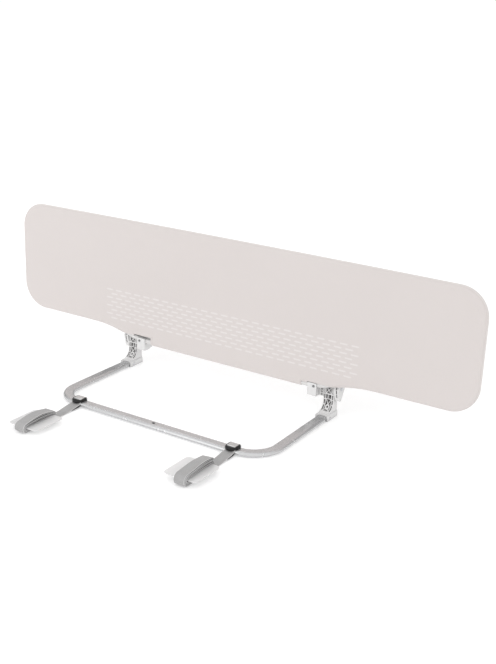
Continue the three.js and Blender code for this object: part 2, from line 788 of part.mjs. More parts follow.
// The pockets beside the upright and the slots in the cheek's front.
function blockRecesses() {
  const front = armReach + blockFront;
  const pocketOuter = blockOuter - blockPocketWall;
  const pockets = blockPocketHeights.map((z) =>
    box(
      pocketOuter - blockPocketWidth,
      pocketOuter,
      front - overrun,
      armReach + blockRibbedFront + blockPocketDepth,
      z,
      z + blockPocketHeight,
    ),
  );
  const slotHeight = (cheekSlotTop - cheekSlotBottom - (cheekSlotBars - 1) * latticeBar) / cheekSlotBars;
  const slots = Array.from({ length: cheekSlotBars }, (_, k) => {
    const low = cheekSlotBottom + k * (slotHeight + latticeBar);
    const x = cheekInner + cheekSlotInset;
    const depth = pivotY - cheekRadius + cheekSlotDepth;
    return box(x, x + cheekSlotWidth, pivotY - 2 * cheekRadius, depth, low, low + slotHeight);
  });
  return [...pockets, ...slots];
}

// Block with the hinge knuckle, joined over the upright's head to the outer cheek.
function hingeBlock() {
  const bridgeFront = armReach + coverHalf + bridgeClearance;
  const bridgeLow = notchTop + gap;
  const bridgeTop = bridgeLow + bridgeHeight;
  const bridge = box(blockInner, cheekOuter, bridgeFront, bridgeFront + bridgeDepth, bridgeLow, bridgeTop);
  const shoulder = (x0, x1) =>
    box(x0, x1, bridgeFront, bridgeFront + bridgeShoulder, pivotHeight, bridgeTop);
  const body = join(
    prism(alongX, blockProfile(blockFront), blockInner, faceOuter, { curveSegments: 4 }),
    prism(alongX, blockProfile(blockRibbedFront), faceOuter, blockOuter, { curveSegments: 4 }),
    prism(alongX, disc(pivotY, pivotHeight, knuckleRadius), blockInner, blockOuter, { curveSegments: 20 }),
    bridge,
    shoulder(blockInner, blockOuter),
    shoulder(cheekInner, cheekOuter),
    prism(alongX, cheekProfile(), cheekInner, cheekOuter, { curveSegments: 14 }),
  );
  const pinHole = rod(pinRadius + gap, blockOuter - pinSeat - gap, cheekOuter + overrun, pivotY, pivotHeight);
  const chamber = rod(chamberRadius, blockOuter - chamberDepth, blockOuter + overrun, plungerY, pivotHeight);
  const guide = rod(plungerRadius + gap, blockInner - overrun, blockOuter, plungerY, pivotHeight);
  const hole = screwBar(screwRadius + gap, armReach, armReach + railRadius + screwReach);
  return cut(body, railSpace(), pinHole, chamber, guide, hole, ...blockRecesses());
}

function hingePin() {
  const head = cheekOuter + gap;
  const chamfer = pinHeadHeight / 2;
  return turned(
    [
      [blockOuter - pinSeat, 0],
      [blockOuter - pinSeat, pinRadius],
      [head, pinRadius],
      [head, pinHeadRadius],
      [head + pinHeadHeight - chamfer, pinHeadRadius],
      [head + pinHeadHeight, pinHeadRadius - chamfer],
      [head + pinHeadHeight, 0],
    ],
    pivotY,
    pivotHeight,
    20,
  );
}

// Screw of the rail clip.
function clipScrew() {
  const top = clipFront - screwHeadHeight;
  const head = prism(alongY, disc(screwX, screwHeight, screwHeadRadius), top, clipFront);
  return join(head, screwBar(screwRadius, top, armReach + railRadius + screwReach - gap));
}

function releasePlunger() {
  const tip = uprightInner + plungerReach;
  const collarEnd = blockOuter - plungerCollarInset;
  const collarStart = collarEnd - plungerCollarLength;
  const knobEnd = blockInner - knobStandoff;
  const knobStart = knobEnd - knobLength;
  const chamfer = plungerReach / 4;
  const rim = knobWaist / 2;
  return turned(
    [
      [knobStart, 0],
      [knobStart, knobRadius - rim],
      [knobStart + rim, knobRadius],
      [knobStart + knobLength / 3, knobRadius],
      [knobStart + knobLength / 2, knobRadius - knobWaist],
      [knobEnd - knobLength / 3, knobRadius],
      [knobEnd - rim, knobRadius],
      [knobEnd, knobRadius - rim],
      [knobEnd, plungerRadius],
      [collarStart, plungerRadius],
      [collarStart, plungerCollarRadius],
      [collarEnd, plungerCollarRadius],
      [collarEnd, plungerRadius],
      [tip - chamfer, plungerRadius],
      [tip, plungerRadius - chamfer],
      [tip, 0],
    ],
    plungerY,
    pivotHeight,
  );
}

// Coil spring between the end of its chamber and the plunger's collar.
function plungerSpring() {
  const start = blockOuter - chamberDepth + gap + springWireRadius;
  const end = blockOuter - plungerCollarInset - plungerCollarLength - gap - springWireRadius;
  const count = springTurns * 8;
  const rise = (end - start) / (2 * Math.PI * springTurns);
  const stations = Array.from({ length: count + 1 }, (_, k) => {
    const turn = (2 * Math.PI * springTurns * k) / count;
    const point = vec(
      start + rise * turn,
      plungerY + springRadius * Math.cos(turn),
      pivotHeight + springRadius * Math.sin(turn),
    );
    const tangent = vec(rise, -springRadius * Math.sin(turn), springRadius * Math.cos(turn)).normalize();
    return { point, tangent };
  });
  return sweep(disc(0, 0, springWireRadius), stations, 3);
}

// The winding's innermost layer, and the centre of its end turns, from the plate's middle
const windingStart = plateThickness / 2 + gap + strapThickness / 2;
const windingEnd = plateLength / 2 + gap + strapThickness / 2 - windingStart;
const strapFloor = strapFloorGap + strapThickness / 2;
const windingReach = (turns) => windingStart + strapPitch * (turns + 1 - (0.5 - runShare));
const plateHeight = (turns) => strapFloor + windingReach(turns);

// The webbing's centre line in the Y-Z plane: from the clamp over the tube's front, down to the
// floor, then wound inwards round the plate, drawing in by one pitch in each turn.
function strapStations({ windingCentre, turns }) {
  const over = tubeHeight / 2 + gap + strapThickness / 2;
  const shoulder = -(tubeWidth - tubeHeight) / 2;
  const slope = degrees(strapSlopeDegrees);
  const at = (y, z, ty, tz) => ({ point: vec(0, y, z), tangent: vec(0, ty, tz).normalize() });
  const run = [at(strapTail, tubeMiddle + over, -1, 0)];
  for (let k = 0; k <= 3; k += 1) {
    const turn = (slope * k) / 3;
    run.push(
      at(
        shoulder - over * Math.sin(turn),
        tubeMiddle + over * Math.cos(turn),
        -Math.cos(turn),
        -Math.sin(turn),
      ),
    );
  }
  const drop = run.at(-1).point.z - strapFloor;
  const corner = vec(0, run.at(-1).point.y - drop / Math.tan(slope), strapFloor);
  run.push(...bendStations(corner, run.at(-1).tangent, vec(0, -1, 0), strapFloorRadius, 4));
  run.push(at(windingCentre + windingEnd, strapFloor, -1, 0));
  const arcSteps = 7;
  const reach = windingReach(turns);
  const centre = plateHeight(turns);
  const arcShare = 0.5 - runShare;
  for (let lap = 0; lap <= turns; lap += 1) {
    for (const side of [-1, 1]) {
      if (lap === turns && side === 1) break;
      const begin = lap + (side === -1 ? runShare : 0.5 + runShare);
      for (let k = 0; k <= arcSteps; k += 1) {
        const radius = reach - strapPitch * (begin + (arcShare * k) / arcSteps);
        const turn = (Math.PI * k) / arcSteps;
        const y = windingCentre + side * (windingEnd + radius * Math.sin(turn));
        const z = centre + side * radius * Math.cos(turn);
        run.push(at(y, z, side * Math.cos(turn), -side * Math.sin(turn)));
      }
    }
  }
  run.push(at(windingCentre + windingEnd, centre + windingStart, 1, 0));
  return run;
}

// The least gap of a winding to itself, measured on points along its line, and its length.
function measureStrap(name, stations) {
  const points = [];
  let length = 0;
  stations.slice(1).forEach(({ point }, k) => {
    const from = stations[k].point;
    const count = Math.max(1, Math.ceil(from.distanceTo(point) / strapThickness));
    const step = from.distanceTo(point) / count;
    for (let i = 0; i < count; i += 1) {
      points.push({ at: from.clone().lerp(point, i / count), run: length + step * i });
    }
    length += from.distanceTo(point);
  });
  let least = Infinity;
  points.forEach((a, i) => {
    for (const b of points.slice(i + 1)) {
      if (b.run - a.run < 2 * windingEnd) continue;
      least = Math.min(least, a.at.distanceTo(b.at) - strapThickness);
    }
  });
  console.log(`${name}: ${length.toFixed(0)} mm of webbing, least gap to itself ${least.toFixed(2)} mm`);
}

function strap(name, place) {
  const stations = strapStations(place);
  measureStrap(name, stations);
  const section = rectangle(-strapThickness / 2, -strapWidth / 2, strapThickness / 2, strapWidth / 2);
  return sweep(section, stations);
}

function anchorPlate({ plateCentre, turns }) {
  const shape = roundedRectangle(
    -plateWidth / 2,
    plateCentre - plateLength / 2,
    plateWidth / 2,
    plateCentre + plateLength / 2,
    plateCornerRadius,
  );
  const middle = plateHeight(turns);
  return prism(alongZ, shape, middle - plateThickness / 2, middle + plateThickness / 2, {
    edge: plateEdge,
    rounds: 1,
    curveSegments: 5,
  });
}

// The space that the webbing takes in the clamp.
function strapSpace(place) {
  const run = strapStations(place).slice(0, 7);
  run[0] = { ...run[0], point: run[0].point.clone().setY(strapTail + gap) };
  const [t, w] = [strapThickness / 2 + gap, strapWidth / 2 + gap];
  return sweep(rectangle(-t, -w, t, w), run);
}

// Black clamp that sits on the cross tube, in place along it so that it clears the bend.
function strapClamp(place) {
  const back = tubeWidth / 2 + gap + clampWall;
  const r = clampShoulderRadius;
  const side = new THREE.Shape();
  side.moveTo(-clampFront, clampLipBottom).lineTo(-tubeWidth / 2, clampLipBottom);
  side.lineTo(0, tubeMiddle).lineTo(tubeWidth / 2, clampLegBottom).lineTo(back, clampLegBottom);
  side.lineTo(back, clampTop - r).quadraticCurveTo(back, clampTop, back - r, clampTop);
  side.lineTo(r - clampFront, clampTop).quadraticCurveTo(-clampFront, clampTop, -clampFront, clampTop - r);
  const plan = roundedRectangle(-clampWidth / 2, -clampFront, clampWidth / 2, back, clampCornerRadius);
  const body = prism(alongX, side, -clampWidth / 2, clampWidth / 2, { curveSegments: 5 }).intersect(
    prism(alongZ, plan, 0, clampTop + overrun, { curveSegments: 5 }),
  );
  const spaceSection = oval(tubeHeight + 2 * gap, tubeWidth + 2 * gap);
  const tubeSpace = sweep(spaceSection, tubeLine(-clampWidth, armEnd));
  const shifted = tubeSpace.translate([-place.centre, 0, 0]);
  const straight = prism(
    alongX,
    oval(tubeWidth + 2 * gap, tubeHeight + 2 * gap, 0, tubeMiddle),
    -clampWidth,
    clampWidth,
    { curveSegments: 8 },
  );
  const recessHalf = leverWidth / 2 + gap;
  const recessFront = leverPivotBack - leverLength - gap;
  const recessTop = clampTop + overrun;
  const recess = box(-recessHalf, recessHalf, recessFront, back + overrun, leverRecessFloor, recessTop);
  const camSpace = leverCamRadius + gap;
  const window = box(
    -recessHalf,
    recessHalf,
    leverPivotBack - camSpace,
    leverPivotBack + camSpace,
    tubeHeight,
    clampTop,
  );
  const pinHole = rod(leverPinRadius + gap, -clampWidth, clampWidth, leverPivotBack, leverPivotHeight, 10);
  return cut(body, shifted, straight, strapSpace(place), recess, window, pinHole);
}

// Lever with a cam that bites on the webbing.
function clampLever() {
  const top = leverRecessFloor + gap + leverThickness;
  const r = leverThickness / 3;
  const front = leverPivotBack - leverLength;
  const plate = new THREE.Shape();
  plate.moveTo(front + r, leverRecessFloor + gap).lineTo(leverPivotBack, leverRecessFloor + gap);
  plate.lineTo(leverPivotBack, top).lineTo(front + r, top);
  plate.quadraticCurveTo(front, top, front, top - r);
  plate.lineTo(front, leverRecessFloor + gap + r);
  plate.quadraticCurveTo(front, leverRecessFloor + gap, front + r, leverRecessFloor + gap);
  const half = leverWidth / 2;
  const cam = prism(alongX, disc(leverPivotBack, leverPivotHeight, leverCamRadius), -half, half, {
    curveSegments: 14,
  });
  const bore = rod(leverPinRadius + gap, -clampWidth, clampWidth, leverPivotBack, leverPivotHeight, 10);
  return cut(join(prism(alongX, plate, -half, half, { curveSegments: 3 }), cam), bore);
}

const leverPin = () =>
  rod(leverPinRadius, -leverPinLength / 2, leverPinLength / 2, leverPivotBack, leverPivotHeight, 10);

// The pieces that repeat on both sides are drawn on the right; the left group mirrors them.
const guard = new THREE.Group();
const right = new THREE.Group();
const left = new THREE.Group();
left.scale.x = -1;
guard.add(right, left);

function pair(name, body, material) {
  right.add(piece(`${name}_right`, body, material));
  left.add(piece(`${name}_left`, body, material));
}

function addStrap(group, side, place) {
  const assembly = new THREE.Group();
  assembly.position.x = place.centre;
  const plate = piece(`anchor_plate_${side}`, anchorPlate(place), clearPlate);
  plate.position.x = place.plateShift;
  assembly.add(
    piece(`strap_clamp_${side}`, strapClamp(place), blackMoulding),
    piece(`clamp_lever_${side}`, clampLever(), greyMoulding),
    piece(`lever_pin_${side}`, leverPin(), brightSteel),
    piece(`strap_${side}`, strap(`strap_${side}`, place), greyWebbing),
    plate,
  );
  group.add(assembly);
}

right.add(piece("base_tube_right", rightTube(), greyTube));
left.add(piece("base_tube_left", leftTube(), greyTube));
guard.add(piece("tube_button", snapButton(), brightSteel));
guard.add(piece("button_spring", buttonSpring(), brightSteel));
pair("upright", upright(), whiteMoulding);
pair("foot_rivet", rivet(), brightSteel);

const [coverFront, coverBack] = coverHalves();
guard.add(piece("cover_front", coverFront, coverFabric));
guard.add(piece("cover_back", coverBack, coverFabric));
guard.add(piece("top_rail", sweep(railSection(), stretch(railLine, onTop(1), onTop(-1)), 6), whiteTube));
guard.add(
  piece("lower_rail", sweep(railSection(), stretch(railLine, insideBlock(-1), insideBlock(1)), 6), whiteTube),
);
const endLoop = sweep(railSection(), stretch(railLine, insideBlock(1), onTop(1)), 6);
pair("end_loop", cut(endLoop, screwHole()), whiteTube);
pair("rail_joiner", railJoiner(), whiteTube);

pair("hinge_block", hingeBlock(), whiteMoulding);
pair("rail_clip", railClip(), whiteMoulding);
pair("hinge_pin", hingePin(), brightSteel);
pair("clip_screw", clipScrew(), brightSteel);
pair("release_plunger", releasePlunger(), greyMoulding);
pair("plunger_spring", plungerSpring(), brightSteel);

addStrap(right, "right", rightStrap);
addStrap(left, "left", leftStrap);

export default guard;
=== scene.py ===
import json
import math

import bmesh
import bpy
from mathutils import Matrix, Vector
from mathutils.geometry import delaunay_2d_cdt


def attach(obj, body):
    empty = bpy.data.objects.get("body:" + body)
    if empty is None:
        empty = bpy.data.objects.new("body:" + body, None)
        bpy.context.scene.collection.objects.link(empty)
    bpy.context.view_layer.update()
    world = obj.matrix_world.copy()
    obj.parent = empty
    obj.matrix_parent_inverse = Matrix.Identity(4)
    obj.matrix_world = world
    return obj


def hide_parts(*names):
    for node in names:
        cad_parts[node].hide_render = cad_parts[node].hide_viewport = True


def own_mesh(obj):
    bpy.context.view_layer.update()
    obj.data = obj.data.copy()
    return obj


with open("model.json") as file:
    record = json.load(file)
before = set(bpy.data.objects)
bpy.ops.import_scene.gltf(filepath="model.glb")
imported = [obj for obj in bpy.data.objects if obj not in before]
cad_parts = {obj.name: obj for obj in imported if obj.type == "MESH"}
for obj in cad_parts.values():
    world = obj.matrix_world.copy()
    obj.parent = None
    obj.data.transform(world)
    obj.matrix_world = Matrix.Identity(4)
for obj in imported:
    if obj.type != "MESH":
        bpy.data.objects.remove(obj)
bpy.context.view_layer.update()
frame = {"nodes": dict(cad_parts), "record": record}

# A folding guard rail for the side of a bed. Metres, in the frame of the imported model: +X along
# the panel, +Y from the cross tube to the panel, +Z up, origin under the middle of the cross tube.
MM = 0.001
nodes = frame["nodes"]

# ---------------------------------------------------------------- camera
CAMERA_PLACE = (1.493030, -1.988882, 1.139199)
CAMERA_AXES = (
    (0.84612658, -0.20437745, 0.49223944),
    (0.5317669, 0.26138859, -0.80554328),
    (0.03596911, 0.94334822, 0.329849),
)
camera = bpy.data.objects.new("camera", bpy.data.cameras.new("camera"))
camera.data.lens = 56.35
camera.data.sensor_width = 36
camera.data.clip_start = 0.05
camera.matrix_world = Matrix.Translation(CAMERA_PLACE) @ Matrix(CAMERA_AXES).to_4x4()
bpy.context.scene.collection.objects.link(camera)
bpy.context.scene.camera = camera
bpy.context.scene.view_settings.view_transform = "Standard"

# ---------------------------------------------------------------- sizes of the object, millimetres
PANEL_LENGTH = 1500
PANEL_TOP = 439.5
PANEL_CROWN = 5.5
PANEL_BOTTOM = 110
PANEL_SKIRT = 76
CORNER_RADIUS = 78
SWOOP_OUTER = 405
SWOOP_OUTER_RADIUS = 400
SWOOP_INNER_RADIUS = 200
SWOOP_STRAIGHT = 6.3
NOTCH_INNER = 254
NOTCH_OUTER = 366
NOTCH_TOP = 97
CLIP_NOTCH_TOP = 94.1  # in front at the right, where the cloth reaches down to the clip
RAIL_NOTCH_TOP = 90.5  # and beside the clip, where it covers the rail's upper edge
RAIL_NOTCH_END = 273.5
WINDOW_OUTER = 316
WINDOW_TOP = 101
WINDOW_DEPTH = 6
COVER_HALF = 9.1
COVER_WALL = 0.8
SEAM_HALF = 0.2
PANEL_PLANE = 331
CROWN_REACH = 0.85


# ---------------------------------------------------------------- meshes
def new_object(name, vertices, faces, material=None, smooth=True):
    mesh = bpy.data.meshes.new(name)
    mesh.from_pydata([tuple(v) for v in vertices], [], faces)
    mesh.validate()
    mesh.polygons.foreach_set("use_smooth", [smooth] * len(mesh.polygons))
    piece = bpy.data.objects.new(name, mesh)
    bpy.context.scene.collection.objects.link(piece)
    if material:
        mesh.materials.append(material)
    return piece


def faces_outwards(piece):
    work = bmesh.new()
    work.from_mesh(piece.data)
    bmesh.ops.recalc_face_normals(work, faces=work.faces)
    work.to_mesh(piece.data)
    work.free()
    return piece


def apply_modifiers(piece):
    evaluated = piece.evaluated_get(bpy.context.evaluated_depsgraph_get())
    mesh = bpy.data.meshes.new_from_object(evaluated)
    old = piece.data
    piece.modifiers.clear()
    piece.data = mesh
    mesh.name = piece.name
    bpy.data.meshes.remove(old)


def combined(piece, tool, operation):
    """Cuts the tool out of the piece (DIFFERENCE), or keeps what lies in both (INTERSECT)."""
    work = piece.modifiers.new("cut", "BOOLEAN")
    work.operation = operation
    work.solver = "EXACT"
    work.object = tool
    apply_modifiers(piece)
    bpy.data.objects.remove(tool)


BOX_SIDES = [(0, 2, 3, 1), (4, 5, 7, 6), (0, 1, 5, 4), (2, 6, 7, 3), (0, 4, 6, 2), (1, 3, 7, 5)]


def cut_boxes(piece, boxes):
    """Cuts boxes, given by their corners in millimetres, out of a closed piece."""
    for low, high in boxes:
        corners = [
            [(low, high)[(k >> axis) & 1][axis] * MM for axis in range(3)] for k in range(8)
        ]
        combined(piece, new_object("tool", corners, BOX_SIDES, smooth=False), "DIFFERENCE")


def tube_faces(rings, sides, first=0):
    """The faces between rings of points that follow one another, and one at each end."""
    faces = []
    for k in range(rings - 1):
        for j in range(sides):
            a = first + k * sides + j
            b = first + k * sides + (j + 1) % sides
            faces.append((a, b, b + sides, a + sides))
    last = first + (rings - 1) * sides
    faces.append(tuple(reversed(range(first, first + sides))))
    faces.append(tuple(range(last, last + sides)))
    return faces


def smooth_by_angle(piece, degrees=35):
    """Smooth shading, with the edges that are sharper than the angle kept sharp."""
    mesh = piece.data
    work = bmesh.new()
    work.from_mesh(mesh)
    limit = math.radians(degrees)
    for edge in work.edges:
        edge.smooth = len(edge.link_faces) == 2 and edge.calc_face_angle(0) < limit
    for face in work.faces:
        face.smooth = True
    work.to_mesh(mesh)
    work.free()
    return piece


# ---------------------------------------------------------------- materials
def sockets(node, values):
    for name, value in values.items():
        socket = node.inputs[name]
        if hasattr(socket.default_value, "__len__") and not hasattr(value, "__len__"):
            value = (value, value, value, 1)
        if hasattr(value, "__len__") and len(value) == 3 and len(socket.default_value) == 4:
            value = (*value, 1)
        socket.default_value = value


class Finish:
    """A material made of nodes, built up from its Principled shader."""

    def __init__(self, name, **values):
        self.material = bpy.data.materials.new(name)
        self.material.use_nodes = True
        self.tree = self.material.node_tree
        self.shader = self.tree.nodes["Principled BSDF"]
        sockets(self.shader, values)
        self.place = self.node("ShaderNodeTexCoord").outputs["Object"]

    def node(self, kind, properties=None, **values):
        made = self.tree.nodes.new(kind)
        for name, value in (properties or {}).items():
            setattr(made, name, value)
        for name, value in values.items():
            if isinstance(value, bpy.types.NodeSocket):
                self.tree.links.new(value, made.inputs[name])
            else:
                sockets(made, {name: value})
        return made

    def link(self, output, socket):
        self.tree.links.new(output, self.shader.inputs[socket])

    def math(self, operation, a, b=0.0, clamp=False):
        made = self.tree.nodes.new("ShaderNodeMath")
        made.operation = operation
        made.use_clamp = clamp
        for socket, value in zip(made.inputs, (a, b)):
            if isinstance(value, bpy.types.NodeSocket):
                self.tree.links.new(value, socket)
            else:
                socket.default_value = value
        return made.outputs[0]

    def noise(self, scale, detail=2, roughness=0.5, place=None):
        made = self.node(
            "ShaderNodeTexNoise",
            Vector=place or self.place,
            Scale=scale,
            Detail=detail,
            Roughness=roughness,
        )
        return made.outputs["Fac"]

    def spread(self, value, low, high):
        """A value from 0 to 1 turned into one from low to high."""
        made = self.node("ShaderNodeMapRange", Value=value)
        made.inputs["To Min"].default_value = low
        made.inputs["To Max"].default_value = high
        return made.outputs["Result"]

    def mix(self, factor, a, b, blend="MIX"):
        made = self.tree.nodes.new("ShaderNodeMix")
        made.data_type = "RGBA"
        made.blend_type = blend
        for socket, value in ((0, factor), (6, a), (7, b)):
            if isinstance(value, bpy.types.NodeSocket):
                self.tree.links.new(value, made.inputs[socket])
            elif socket:
                made.inputs[socket].default_value = (*value, 1)
            else:
                made.inputs[socket].default_value = value
        return made.outputs[2]

    def bump(self, height, distance, strength=1.0, after=None):
        made = self.node("ShaderNodeBump", Height=height, Distance=distance, Strength=strength)
        if after:
            self.tree.links.new(after, made.inputs["Normal"])
        return made.outputs["Normal"]

    def axes(self, socket=None):
        made = self.node("ShaderNodeSeparateXYZ", Vector=socket or self.place)
        return made.outputs

    def wave(self, value, pitch):
        """A smooth wave from 0 to 1 along a value, one for each pitch."""
        turn = self.math("MULTIPLY", value, 2 * math.pi / pitch)
        raised = self.math("MULTIPLY_ADD", self.math("SINE", turn), 0.5)
        raised.node.inputs[2].default_value = 0.5
        return raised


def tones(finish, low, high, scale, detail=3):
    """Colour that wanders softly between two tones."""
    finish.link(finish.mix(finish.noise(scale, detail), low, high), "Base Color")


def enamel(name, low, high, metallic=0.0):
    """Sprayed paint with a faint orange peel; with some metallic it is a silver grey."""
    made = Finish(name, **{"Metallic": metallic, "Coat Weight": 0.3, "Coat Roughness": 0.2})
    tones(made, low, high, 14)
    made.link(made.spread(made.noise(55, 4), 0.2, 0.31), "Roughness")
    made.link(made.bump(made.noise(310, 2), 0.0001, 0.25), "Normal")
    return made.material


def steel(name, low, high):
    made = Finish(name, Metallic=1.0)
    tones(made, low, high, 60)
    made.link(made.spread(made.noise(300, 3), 0.2, 0.42), "Roughness")
    made.link(made.bump(made.noise(1400, 2), 0.00004, 0.6), "Normal")
    return made.material


SOFT_EDGE = 0.0005


def moulded(
    name, low, high, rough=(0.4, 0.55), grain=0.00006, shade=None, gloss=0.5, metallic=0.0
):
    """Moulded plastic: a fine eroded grain, softened edges and, where a shade colour is given,
    painted shade that darkens the colour in deep pockets by ambient occlusion.
    """
    made = Finish(name, **{"Specular IOR Level": gloss, "Metallic": metallic})
    colour = made.mix(made.noise(22, 3), low, high)
    if shade:
        # painted shade: the colour is pulled towards the shade colour where ambient occlusion finds
        # the surface hemmed in
        hollow = made.node("ShaderNodeAmbientOcclusion", {"samples": 8}, Distance=0.012)
        painted_shade = made.math("POWER", hollow.outputs["AO"], 1.4)
        colour = made.mix(painted_shade, shade, colour)
    made.link(colour, "Base Color")
    made.link(made.spread(made.noise(90, 3), *rough), "Roughness")
    rounded = made.node("ShaderNodeBevel", {"samples": 4}, Radius=SOFT_EDGE)
    grain_height = made.noise(1900, 2)
    made.link(made.bump(grain_height, grain, 0.6, rounded.outputs["Normal"]), "Normal")
    return made.material


THREAD_PITCH = 0.00075


def fabric(name, low, high, dashes=None):
    """Fine plain weave: two sets of threads that pass over and under each other."""
    made = Finish(name, **{"Roughness": 0.9, "Sheen Weight": 0.25, "Sheen Roughness": 0.45})
    x, y, z = made.axes()[:3]
    across = made.math("ADD", x, y)
    along = made.math("ADD", z, y)
    warp = made.wave(across, THREAD_PITCH)
    weft = made.wave(along, THREAD_PITCH)
    over = made.wave(across, 2 * THREAD_PITCH)
    under = made.wave(along, 2 * THREAD_PITCH)
    turn = made.math("ABSOLUTE", made.math("SUBTRACT", over, under))
    height = made.math("ADD", made.math("MULTIPLY", warp, turn), weft)
    slub = made.noise(260, 3)
    tone = made.mix(made.noise(3.2, 4), low, high)
    shade = made.spread(turn, 0.94, 1.03)
    shade = made.math("MULTIPLY", shade, made.spread(slub, 0.975, 1.02))
    if dashes:
        tone = made.mix(dash_field(made, x, z), tone, dashes)
    grey = made.node("ShaderNodeCombineColor", Red=shade, Green=shade, Blue=shade)
    made.link(made.mix(1.0, tone, grey.outputs[0], "MULTIPLY"), "Base Color")
    first = made.bump(height, 0.00008, 0.55)
    made.link(made.bump(made.noise(38, 4), 0.0006, 0.12, first), "Normal")
    return made.material


DASH_ZONE = (0.411, 0.129, 0.229)  # half width, bottom and top of the zone with dashes
DASH_PITCH = (0.034, 0.0125)
DASH_SIZE = (0.0235, 0.0052)
DASH_FADE = 0.0008  # how wide a dash's soft edge is


def dash_field(made, x, z):
    """Rows of short rounded dashes, each row set off by half a dash from the last."""
    half_width, bottom, top = DASH_ZONE
    pitch_x, pitch_z = DASH_PITCH
    length, thickness = DASH_SIZE
    row_place = made.math("DIVIDE", made.math("SUBTRACT", z, bottom), pitch_z)
    odd = made.math("MODULO", made.math("FLOOR", row_place), 2.0)
    offset = made.math("MULTIPLY", odd, 0.5)
    shifted = made.math("ADD", made.math("DIVIDE", x, pitch_x), offset)
    dx = made.math("SUBTRACT", made.math("FRACT", shifted), 0.5)
    dx = made.math("MULTIPLY", made.math("ABSOLUTE", dx), pitch_x)
    dz = made.math("SUBTRACT", made.math("FRACT", row_place), 0.5)
    dz = made.math("MULTIPLY", made.math("ABSOLUTE", dz), pitch_z)
    end = made.math("MAXIMUM", made.math("SUBTRACT", dx, (length - thickness) / 2), 0.0)
    away = made.math("ADD", made.math("POWER", end, 2.0), made.math("POWER", dz, 2.0))
    inside = made.math("SUBTRACT", thickness / 2, made.math("SQRT", away))
    soft = made.math("MULTIPLY", inside, 1 / DASH_FADE, clamp=True)
    cell = made.math("SUBTRACT", made.math("FLOOR", shifted), offset)
    cell = made.math("MULTIPLY", made.math("ADD", cell, 0.5), pitch_x)
    zone = made.math("LESS_THAN", made.math("ABSOLUTE", cell), half_width)
    zone = made.math("MULTIPLY", zone, made.math("GREATER_THAN", z, bottom))
    zone = made.math("MULTIPLY", zone, made.math("LESS_THAN", z, top))
    front = made.math("LESS_THAN", made.axes()[1], PANEL_PLANE * MM)
    return made.math("MULTIPLY", made.math("MULTIPLY", soft, zone), front)


RIB_PITCH = 0.003
WEFT_PITCH = 0.0016
SELVEDGE_START = 0.0138
SELVEDGE_FADE = 0.0006


def webbing(name, low, high, selvedge):
    """Flat webbing: ribs along its length crossed by a fine herringbone of weft threads, with tight
    paler edges, and painted shade from ambient occlusion in the gaps between laps and under them."""
    made = Finish(name, **{"Roughness": 0.8, "Sheen Weight": 0.2, "Sheen Roughness": 0.4})
    uv = made.node("ShaderNodeTexCoord").outputs["UV"]
    u, v = made.axes(uv)[:2]
    rib = made.wave(u, RIB_PITCH)
    zigzag = made.math("PINGPONG", u, RIB_PITCH)
    weft = made.wave(made.math("ADD", v, made.math("MULTIPLY", zigzag, 0.8)), WEFT_PITCH)
    height = made.math("ADD", made.math("MULTIPLY", rib, 0.5), made.math("MULTIPLY", weft, 0.8))
    tone = made.mix(made.spread(height, 0.0, 0.85), low, high)
    tone = made.mix(made.noise(45, 3), tone, made.mix(0.5, tone, high))
    rim = made.math("SUBTRACT", made.math("ABSOLUTE", u), SELVEDGE_START)
    rim = made.math("MULTIPLY", rim, 1 / SELVEDGE_FADE, clamp=True)
    # painted shade: the colour darkens to near black in the narrow gaps between laps, by ambient
    # occlusion
    hollow = made.node("ShaderNodeAmbientOcclusion", {"samples": 8}, Distance=0.004)
    painted_shade = made.math("POWER", hollow.outputs["AO"], 0.9)
    tone = made.mix(rim, tone, selvedge)
    made.link(made.mix(painted_shade, (0.02, 0.02, 0.02), tone), "Base Color")
    made.link(made.bump(height, 0.00018, 0.7), "Normal")
    return made.material


def clear(name):
    """Milky, partly see-through plastic."""
    made = Finish(name, **{"Transmission Weight": 0.25, "IOR": 1.45})
    tones(made, (0.82, 0.815, 0.815), (0.87, 0.865, 0.865), 12)
    made.link(made.spread(made.noise(120, 3), 0.24, 0.4), "Roughness")
    made.link(made.bump(made.noise(420, 2), 0.0001, 0.35), "Normal")
    return made.material


tube_enamel = enamel("tube_enamel", (0.535, 0.537, 0.544), (0.575, 0.577, 0.584), 0.7)
rail_enamel = enamel("rail_enamel", (0.62, 0.61, 0.605), (0.67, 0.66, 0.655))
bright_steel = steel("bright_steel", (0.52, 0.52, 0.54), (0.68, 0.68, 0.7))
# steel coloured dark as painted shade, for the button whose hole lies in shadow
painted_shade_steel = steel("painted_shade_steel", (0.1, 0.1, 0.105), (0.16, 0.16, 0.165))
screw_steel = steel("screw_steel", (0.2, 0.2, 0.205), (0.28, 0.28, 0.285))
# the uprights' white plastic gets painted shade in its pockets through the shade colour
white_plastic = moulded(
    "white_plastic", (0.675, 0.67, 0.668), (0.72, 0.715, 0.712), shade=(0.5, 0.495, 0.495)
)
black_plastic = moulded(
    "black_plastic", (0.006, 0.006, 0.0065), (0.013, 0.0125, 0.013), (0.3, 0.42), 0.00004, gloss=0.3
)
grey_plastic = moulded(
    "grey_plastic", (0.56, 0.56, 0.56), (0.62, 0.62, 0.62), (0.15, 0.22), metallic=0.6
)
cover_fabric = fabric(
    "cover_fabric", (0.63, 0.585, 0.57), (0.655, 0.61, 0.595), (0.71, 0.675, 0.665)
)
# the binding tape is coloured paler than the cover as painted light, to offset the shade on the
# cover's rim
binding_fabric_painted_light = fabric("binding_fabric_painted_light", (0.7, 0.662, 0.64), (0.73, 0.692, 0.67))
thread = fabric("thread", (0.7, 0.665, 0.65), (0.74, 0.705, 0.69))
grey_webbing = webbing(
    "grey_webbing", (0.175, 0.172, 0.172), (0.475, 0.47, 0.47), (0.62, 0.615, 0.615)
)
clear_plastic = clear("clear_plastic")

